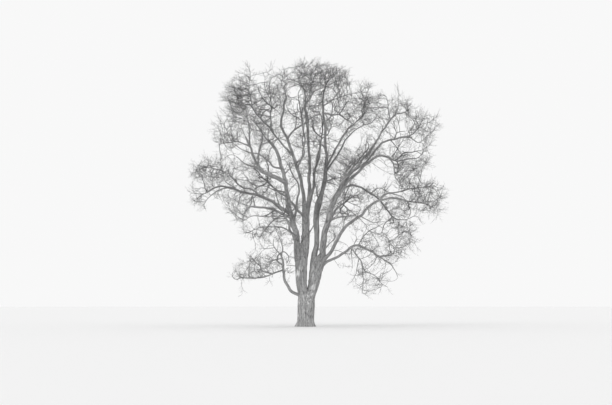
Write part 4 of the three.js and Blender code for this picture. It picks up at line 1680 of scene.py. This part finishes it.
    def arcs(
        self, bases: np.ndarray, direction: np.ndarray, length: np.ndarray, rows: int, rng: np.random.Generator
    ) -> np.ndarray:
        """Bends short lines up and outwards.

        Args:
            bases: where they start.
            direction: the way that each leaves in.
            length: their lengths.
            rows: the number of straight stretches in each.
            rng: the source of chance.

        Returns:
            The lines' points, lines by points by x, y, z.
        """
        outward = unit(bases * np.array([1.0, 1.0, 0.0]))
        chance = rng.normal(size=bases.shape)
        bend = self.curl * (self.curl_up * UP + self.curl_out * outward + self.curl_waver * chance)
        points = [bases]
        for row in range(rows):
            way = unit(direction + bend * (row + 0.5) * 2 / rows)
            points.append(points[-1] + way * (length / rows)[:, None])
        return np.stack(points, axis=1)

    @staticmethod
    def square_to(headings: np.ndarray) -> tuple[np.ndarray, np.ndarray]:
        """Gives two directions square to each heading and to each other."""
        helper = np.where(np.abs(headings[:, 2:]) < TOO_NEAR, UP, RIGHT)
        first = unit(np.cross(headings, helper))
        return first, np.cross(headings, first)


class Signal:
    """A value in a shader. Arithmetic on it adds Math nodes."""

    def __init__(self, shading: "Shading", socket: bpy.types.NodeSocket) -> None:
        """Wraps a socket."""
        self.shading = shading
        self.socket = socket

    def __add__(self, other: "Signal | float") -> "Signal":
        """Adds."""
        return self.shading.maths("ADD", self, other)

    def __sub__(self, other: "Signal | float") -> "Signal":
        """Subtracts."""
        return self.shading.maths("SUBTRACT", self, other)

    def __rsub__(self, other: float) -> "Signal":
        """Subtracts from a number."""
        return self.shading.maths("SUBTRACT", other, self)

    def __mul__(self, other: "Signal | float") -> "Signal":
        """Multiplies."""
        return self.shading.maths("MULTIPLY", self, other)

    __radd__ = __add__
    __rmul__ = __mul__


class Shading:
    """Adds the nodes of one material."""

    def __init__(self, name: str) -> None:
        """Starts a material."""
        self.material = bpy.data.materials.new(name)
        self.material.use_nodes = True
        self.tree = self.material.node_tree
        self.shader = self.tree.nodes["Principled BSDF"]

    def add(self, kind: str, settings: dict[str, object], inputs: dict[object, object]) -> bpy.types.Node:
        """Adds a node.

        Args:
            kind: its type.
            settings: its own settings, which are set first.
            inputs: a value, a socket or a signal for each of its sockets by name or number.

        Returns:
            The node.
        """
        node = self.tree.nodes.new(kind)
        for name, value in settings.items():
            setattr(node, name, value)
        for key, value in inputs.items():
            self.feed(node.inputs[key], value)
        return node

    def feed(self, socket: bpy.types.NodeSocket, value: object) -> None:
        """Links or sets a socket.

        Args:
            socket: the socket.
            value: a signal or a socket to link, or else a value to set.
        """
        if isinstance(value, Signal):
            self.tree.links.new(value.socket, socket)
        elif isinstance(value, bpy.types.NodeSocket):
            self.tree.links.new(value, socket)
        else:
            socket.default_value = value

    def maths(self, operation: str, first: Signal | float, second: Signal | float) -> Signal:
        """Adds a Math node."""
        node = self.add("ShaderNodeMath", {"operation": operation}, {0: first, 1: second})
        return Signal(self, node.outputs[0])

    def attribute(self, name: str, output: str) -> Signal:
        """Reads one of the mesh's own values."""
        return Signal(self, self.add("ShaderNodeAttribute", {"attribute_name": name}, {}).outputs[output])

    def stretched(self, place: Signal, scale: tuple[float, float, float]) -> Signal:
        """Stretches a place along its axes."""
        node = self.add("ShaderNodeVectorMath", {"operation": "MULTIPLY"}, {0: place, 1: scale})
        return Signal(self, node.outputs[0])

    def between(self, value: Signal, low: float, high: float) -> Signal:
        """Turns a value into a share.

        Args:
            value: the value.
            low: where the share is 0.
            high: where it is 1.

        Returns:
            The share, with a smooth way between.
        """
        inputs = {"Value": value, "From Min": low, "From Max": high, "To Min": 0.0, "To Max": 1.0}
        settings = {"interpolation_type": "SMOOTHSTEP"}
        return Signal(self, self.add("ShaderNodeMapRange", settings, inputs).outputs["Result"])

    def mixed(self, share: Signal, first: object, second: object) -> Signal:
        """Mixes two colours, with the given share of the second."""
        node = self.add("ShaderNodeMix", {"data_type": "RGBA"}, {0: share, 6: first, 7: second})
        return Signal(self, node.outputs[2])

    def surface(self, colour: object, roughness: float) -> None:
        """Sets the surface's colour and roughness."""
        self.feed(self.shader.inputs["Base Color"], colour)
        self.feed(self.shader.inputs["Roughness"], roughness)


def grey(level: float) -> tuple[float, float, float, float]:
    """Gives an even grey."""
    return (level, level, level, 1.0)


@dataclass(frozen=True)
class Cloud:
    """A cloudy pattern over the wood, from 0 to 1, drawn out along it where its slimness is below 1."""

    slimness: float
    scale: float
    detail: float
    roughness: float = 0.5

    def over(self, shading: Shading, wood: Signal) -> Signal:
        """Lays the pattern over the wood.

        Args:
            shading: the material's nodes.
            wood: the place round and along the limb.

        Returns:
            The pattern's value.
        """
        inputs = {
            "Vector": shading.stretched(wood, (1.0, 1.0, self.slimness)),
            "Scale": self.scale, "Detail": self.detail, "Roughness": self.roughness,
        }
        return Signal(shading, shading.add("ShaderNodeTexNoise", {"noise_dimensions": "3D"}, inputs).outputs["Fac"])


@dataclass(frozen=True)
class BarkFinish:
    """Old ridged bark: pale ridges, dark furrows, long streaks, paler patches and fine cracks. The dark of the
    furrows and cracks is partly the bark's own colour and partly painted shade.

    Pairs of numbers ending in range are where a pattern starts to count and where it counts fully.
    """

    name: str = "old_bark"
    thick_pale: float = 0.5
    thick_dark: float = 0.28
    thin_pale: float = 0.42
    thin_dark: float = 0.27
    # The dark grey of the furrows and cracks: partly the bark's own colour, partly painted shade.
    furrow: float = 0.08
    patch: float = 0.6
    # The grey of the pale patches on the front of the bark.
    worn: float = 0.95
    girth_range: tuple[float, float] = (0.12, 0.75)
    roughness: float = 0.9
    gloss: float = 0.2

    streaks: Cloud = Cloud(0.14, 9.0, 3.0)
    fine_streaks: Cloud = Cloud(0.2, 34.0, 4.0, 0.6)
    streak_shares: tuple[float, float] = (0.65, 0.35)
    streak_range: tuple[float, float] = (0.36, 0.64)
    mottle_shares: tuple[float, float] = (0.9, 0.6)
    mottle_range: tuple[float, float] = (0.55, 0.9)
    blotches: Cloud = Cloud(0.45, 2.6, 2.0)
    blotch_range: tuple[float, float] = (0.6, 0.72)
    blotch_share: float = 0.5
    ridge_range: tuple[float, float] = (0.1, 0.6)
    # How far the furrows darken: partly the bark's own colour, partly painted shade.
    furrow_dark_and_shade_share: float = 0.7
    pale_patch_furrow_loss: float = 0.5

    seams: Cloud = Cloud(0.08, 20.0, 3.0)
    seam_range: tuple[float, float] = (0.0, 0.03)
    breaks: Cloud = Cloud(0.5, 7.0, 2.0)
    break_range: tuple[float, float] = (0.42, 0.6)
    crack_share: float = 0.6
    grain: Cloud = Cloud(0.4, 90.0, 5.0, 0.65)
    grain_share: float = 0.5
    bump: float = 0.6
    bump_depth: float = 0.01

    def cracks(self, shading: Shading, wood: Signal) -> Signal:
        """Draws fine broken cracks along the middle values of a slim pattern.

        Args:
            shading: the material's nodes.
            wood: the place round and along the limb.

        Returns:
            How deep a crack is at each place.
        """
        seam = shading.maths("ABSOLUTE", self.seams.over(shading, wood) - 0.5, 0.0)
        broken = shading.between(self.breaks.over(shading, wood), *self.break_range)
        return (1 - shading.between(seam, *self.seam_range)) * broken * self.crack_share

    def colour(self, shading: Shading, wood: Signal, cracks: Signal) -> Signal:
        """Mixes the bark's colour.

        Args:
            shading: the material's nodes.
            wood: the place round and along the limb.
            cracks: how deep a crack is there.

        Returns:
            The colour.
        """
        age = shading.between(shading.attribute("girth", "Fac"), *self.girth_range)
        streak = self.streaks.over(shading, wood)
        fine_streak = self.fine_streaks.over(shading, wood)
        share, fine_share = self.streak_shares
        pale = shading.between(streak * share + fine_streak * fine_share, *self.streak_range)
        old = shading.mixed(pale, grey(self.thick_dark), grey(self.thick_pale))
        young = shading.mixed(pale, grey(self.thin_dark), grey(self.thin_pale))
        colour = shading.mixed(age, young, old)
        patches = shading.between(self.blotches.over(shading, wood), *self.blotch_range) * age
        colour = shading.mixed(patches * self.blotch_share, colour, grey(self.patch))
        share, fine_share = self.mottle_shares
        mottle = shading.between(streak * share + fine_streak * fine_share, *self.mottle_range)
        # Pale patches on the front of the bark, broken up by the streaks; the furrows darken less inside them.
        worn = shading.attribute("worn", "Fac") * mottle
        colour = shading.mixed(worn, colour, grey(self.worn))
        # Furrows, lower than the ridge tops, and cracks are darkened: partly the bark's own colour, partly painted
        # shade.
        deep = 1 - shading.between(shading.attribute("high", "Fac"), *self.ridge_range)
        colour = shading.mixed(deep * (self.furrow_dark_and_shade_share - worn * self.pale_patch_furrow_loss), colour, grey(self.furrow))
        return shading.mixed(cracks, colour, grey(self.furrow))

    def material(self) -> bpy.types.Material:
        """Makes the bark's material.

        Returns:
            The material, which reads the mesh's layers grain, girth and high, and that of the pale patches.
        """
        shading = Shading(self.name)
        wood = shading.attribute("grain", "Vector")
        cracks = self.cracks(shading, wood)
        height = self.grain.over(shading, wood) * self.grain_share - cracks
        inputs = {"Height": height, "Strength": self.bump, "Distance": self.bump_depth}
        bump = shading.add("ShaderNodeBump", {}, inputs)
        shading.surface(self.colour(shading, wood, cracks), self.roughness)
        shading.feed(shading.shader.inputs["Normal"], bump.outputs["Normal"])
        shading.feed(shading.shader.inputs["Specular IOR Level"], self.gloss)
        return shading.material


@dataclass(frozen=True)
class TwigFinish:
    """Smooth young bark of twigs, in one plain grey."""

    name: str
    level: float
    roughness: float = 0.75
    gloss: float = 0.25

    def material(self) -> bpy.types.Material:
        """Makes the twigs' material."""
        shading = Shading(self.name)
        shading.surface(grey(self.level), self.roughness)
        shading.feed(shading.shader.inputs["Specular IOR Level"], self.gloss)
        return shading.material


TWIG_FINISHES = (
    TwigFinish("twig_grey", 0.17), TwigFinish("twig_dark", 0.12),
    TwigFinish("twig_pale", 0.24), TwigFinish("twig_worn", 0.19),
)


@dataclass
class Studio:
    """The plain pale floor, even sky light with a soft weak sun, and the viewer's camera."""

    lens: float = 71.6
    sensor: float = 36.0
    pitch: float = math.radians(4.8)
    turn: float = -0.0008
    farthest: float = 2500.0
    sky: float = 0.94
    sun_strength: float = 0.5
    sun_breadth: float = math.radians(40)
    sun_tilt: float = math.radians(52)
    sun_turn: float = math.radians(-38)
    floor_level: float = 0.86
    floor_roughness: float = 0.95
    floor_reach: float = 900.0
    floor_sides: int = 96

    def build(self) -> None:
        """Sets everything up."""
        self.set_camera()
        self.light()
        self.lay_floor()

    def set_camera(self) -> None:
        """Sets the camera where the viewer stands."""
        camera = bpy.data.objects.new("viewer", bpy.data.cameras.new("viewer"))
        camera.data.lens = self.lens
        camera.data.sensor_width = self.sensor
        camera.data.clip_end = self.farthest
        camera.location = (0.0, -EYE_DISTANCE, EYE_HEIGHT)
        camera.rotation_euler = (math.pi / 2 + self.pitch, 0.0, self.turn)
        bpy.context.scene.collection.objects.link(camera)
        bpy.context.scene.camera = camera

    def light(self) -> None:
        """Lights the sky and the sun."""
        scene = bpy.context.scene
        world = bpy.data.worlds.new("studio")
        world.use_nodes = True
        world.node_tree.nodes["Background"].inputs["Color"].default_value = grey(self.sky)
        scene.world = world
        scene.view_settings.view_transform = "Standard"
        sun = bpy.data.objects.new("sun", bpy.data.lights.new("sun", "SUN"))
        sun.data.energy = self.sun_strength
        sun.data.angle = self.sun_breadth
        sun.rotation_euler = (self.sun_tilt, 0.0, self.sun_turn)
        scene.collection.objects.link(sun)

    def lay_floor(self) -> None:
        """Lays a pale floor that reaches to the horizon."""
        bm = bmesh.new()
        bmesh.ops.create_circle(bm, cap_ends=True, radius=self.floor_reach, segments=self.floor_sides)
        mesh = bpy.data.meshes.new("floor")
        bm.to_mesh(mesh)
        bm.free()
        floor = bpy.data.objects.new("floor", mesh)
        shading = Shading("pale_floor")
        shading.surface(grey(self.floor_level), self.floor_roughness)
        mesh.materials.append(shading.material)
        bpy.context.scene.collection.objects.link(floor)


class Join(Enum):
    """How a limb's foot meets its parent: the swelling's share, and the length over which it is narrowed."""

    TRUNK = (0.3, 0.0)
    STEM = (0.3, 0.6)
    RUN_DOWN = (0.8, 1.0)
    PLAIN = (1.3, 0.0)

    @classmethod
    def of(cls, limb: Limb) -> "Join":
        """Tells how a limb meets its parent.

        Args:
            limb: the limb.

        Returns:
            Its kind of join.
        """
        if limb.name == "trunk":
            return cls.TRUNK
        if limb.name not in LimbReader.PARENTS or limb.name == LimbReader.LOW_LIMB:
            return cls.PLAIN
        if limb.parent == "trunk":
            return cls.STEM
        return cls.RUN_DOWN if limb.parent in LimbReader.FORKED else cls.PLAIN


@dataclass
class Tree:
    """The whole tree: wood under bark, then branches and twigs."""

    limbs: dict[str, Limb] = field(default_factory=dict)
    seed: int = 7

    # The trunk and the stems have tubes of their own kinds.
    KINDS = {"trunk": TrunkTube, "left_stem": StemTube, "right_stem": StemTube, "centre_stem": StemTube}
    # Limbs that end in a fork are drawn in over so long a tip.
    CLOSING = {"left_stem": 1.3, "right_stem": 1.3, "centre_stem": 0.8, "right_bough": 0.6}
    # The only stem that no oval foot widens, as it grows out of another stem.
    ROUND_STEM = "centre_stem"
    BARK_APART = 3.7
    LOWEST_GOAL = 1.8
    # Twig tips may stand out of the frame's box by so much.
    STANDING_OUT = 0.1

    def build(self) -> None:
        """Builds every piece."""
        self.limbs = dict(LimbReader().limbs)
        for rows in SIDE_BOUGHS.values():
            for row in rows:
                side = SideBough(*row)
                self.limbs[side.name] = side.limb(self.limbs[side.parent]).gnarled(len(self.limbs))
        self.build_wood()
        self.build_twigs()

    def neighbours(self, limb: Limb) -> list[Limb]:
        """Finds the limbs that a limb meets.

        Args:
            limb: the limb.

        Returns:
            Its parent, what grows from it and, except at the trunk, what grows beside it.
        """
        siblings = limb.parent != "trunk"
        return [
            other for other in self.limbs.values()
            if other is not limb and (
                other.name == limb.parent or other.parent == limb.name
                or (siblings and other.parent == limb.parent)
            )
        ]

    def tube(self, limb: Limb, offset: float) -> BarkTube:
        """Picks the kind of tube for a limb.

        Args:
            limb: the limb.
            offset: tells its bark from that of the others.

        Returns:
            The tube, ready to be built.
        """
        swell_share, sinking = Join.of(limb).value
        tube = self.KINDS.get(limb.name, BarkTube)(
            limb, self.neighbours(limb), BarkRelief(), swell_share, sinking, self.CLOSING.get(limb.name, 0.0), offset
        )
        if limb.name == self.ROUND_STEM:
            tube.deepening = 0.0
        return tube

    def build_wood(self) -> None:
        """Builds the trunk, the stems and all boughs."""
        bark = BarkFinish().material()
        groups = {row[0]: group for group, rows in SIDE_BOUGHS.items() for row in rows}
        piles: dict[str, bmesh.types.BMesh] = {}
        for index, limb in enumerate(self.limbs.values()):
            tube = self.tube(limb, self.BARK_APART * index).build()
            mesh = bpy.data.meshes.new(limb.name)
            tube.to_mesh(mesh)
            tube.free()
            piles.setdefault(groups.get(limb.name, limb.name), bmesh.new()).from_mesh(mesh)
            bpy.data.meshes.remove(mesh)
        for group, bm in piles.items():
            mesh = bpy.data.meshes.new(group + "_bark")
            bm.to_mesh(mesh)
            bm.free()
            mesh.materials.append(bark)
            self.finish(group + "_bark", mesh, group, "trunk_bark" if group in self.KINDS else "bough_bark")

    def scattered(self, names: list[str], rng: np.random.Generator) -> tuple[np.ndarray, np.ndarray]:
        """Scatters the goals that branches grow towards.

        Args:
            names: the nodes of the masses, then the zones.
            rng: the source of chance.

        Returns:
            The goals, and the number of the mass or zone that each belongs to.
        """
        room = OpenRoom()
        goals, numbers = [], []

        def loosely(places: np.ndarray) -> None:
            """Adds goals to the zones that they lie in."""
            goals.append(places)
            numbers.append(np.array([names.index(Zone.of(place[0]).value) for place in places], int))

        for number, name in enumerate(names[:-len(Zone)]):
            places, around = room.in_mass(name, rng)
            goals.append(places)
            numbers.append(np.full(len(places), number))
            loosely(around)
        for limb in self.limbs.values():
            if limb.name != "trunk":
                loosely(room.round_limb(limb, rng))
        for source in CLUMPS + HANGERS:
            loosely(source.places(rng))
        goals, numbers = np.vstack(goals), np.concatenate(numbers)
        keep = ~in_sky(goals, rng) & (goals[:, 2] > self.LOWEST_GOAL)
        return goals[keep], numbers[keep]

    def build_twigs(self) -> None:
        """Builds the branches and twigs."""
        masses = sorted(name for name in frame["nodes"] if name.endswith("_twigs"))
        names = masses + [zone.value for zone in Zone]
        goals, numbers = self.scattered(names, np.random.default_rng(self.seed))
        branches = Branches(self.limbs)
        branches.grow(goals, numbers)
        log.info("%d goals, %d steps of branch", len(goals), len(branches.places) - branches.rooted)
        fullness = np.array([FULLNESS.get(name, VEIL_FULLNESS) for name in names])
        low, high = (np.array(corner) for corner in cad_box)
        work = TwigWork(branches, names, fullness, low - self.STANDING_OUT, high + self.STANDING_OUT)
        finishes = [finish.material() for finish in TWIG_FINISHES]
        for name, pile in work.build().items():
            piece = name + "_grown" if name in masses else name
            mesh = pile.mesh(piece)
            for finish in finishes:
                mesh.materials.append(finish)
            self.finish(piece, mesh, name, "twigs")

    @staticmethod
    def finish(name: str, mesh: bpy.types.Mesh, node: str, slot: str) -> None:
        """Puts a piece in the scene on the tree's body, and hides the frame's node that it stands for.

        Args:
            name: the piece's name.
            mesh: its mesh.
            node: the frame's node that it stands for, if there is one of that name.
            slot: the record's slot that its finish belongs to; not used.
        """
        piece = bpy.data.objects.new(name, mesh)
        bpy.context.scene.collection.objects.link(piece)
        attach(piece, BODY)
        if node in frame["nodes"]:
            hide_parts(node)
        log.info("%s: %d faces", name, len(mesh.polygons))


def main() -> None:
    """Builds the tree and its studio."""
    logging.basicConfig(level=logging.INFO, format="%(name)s: %(message)s")
    Studio().build()
    Tree().build()


if __name__ == "__main__":
    main()
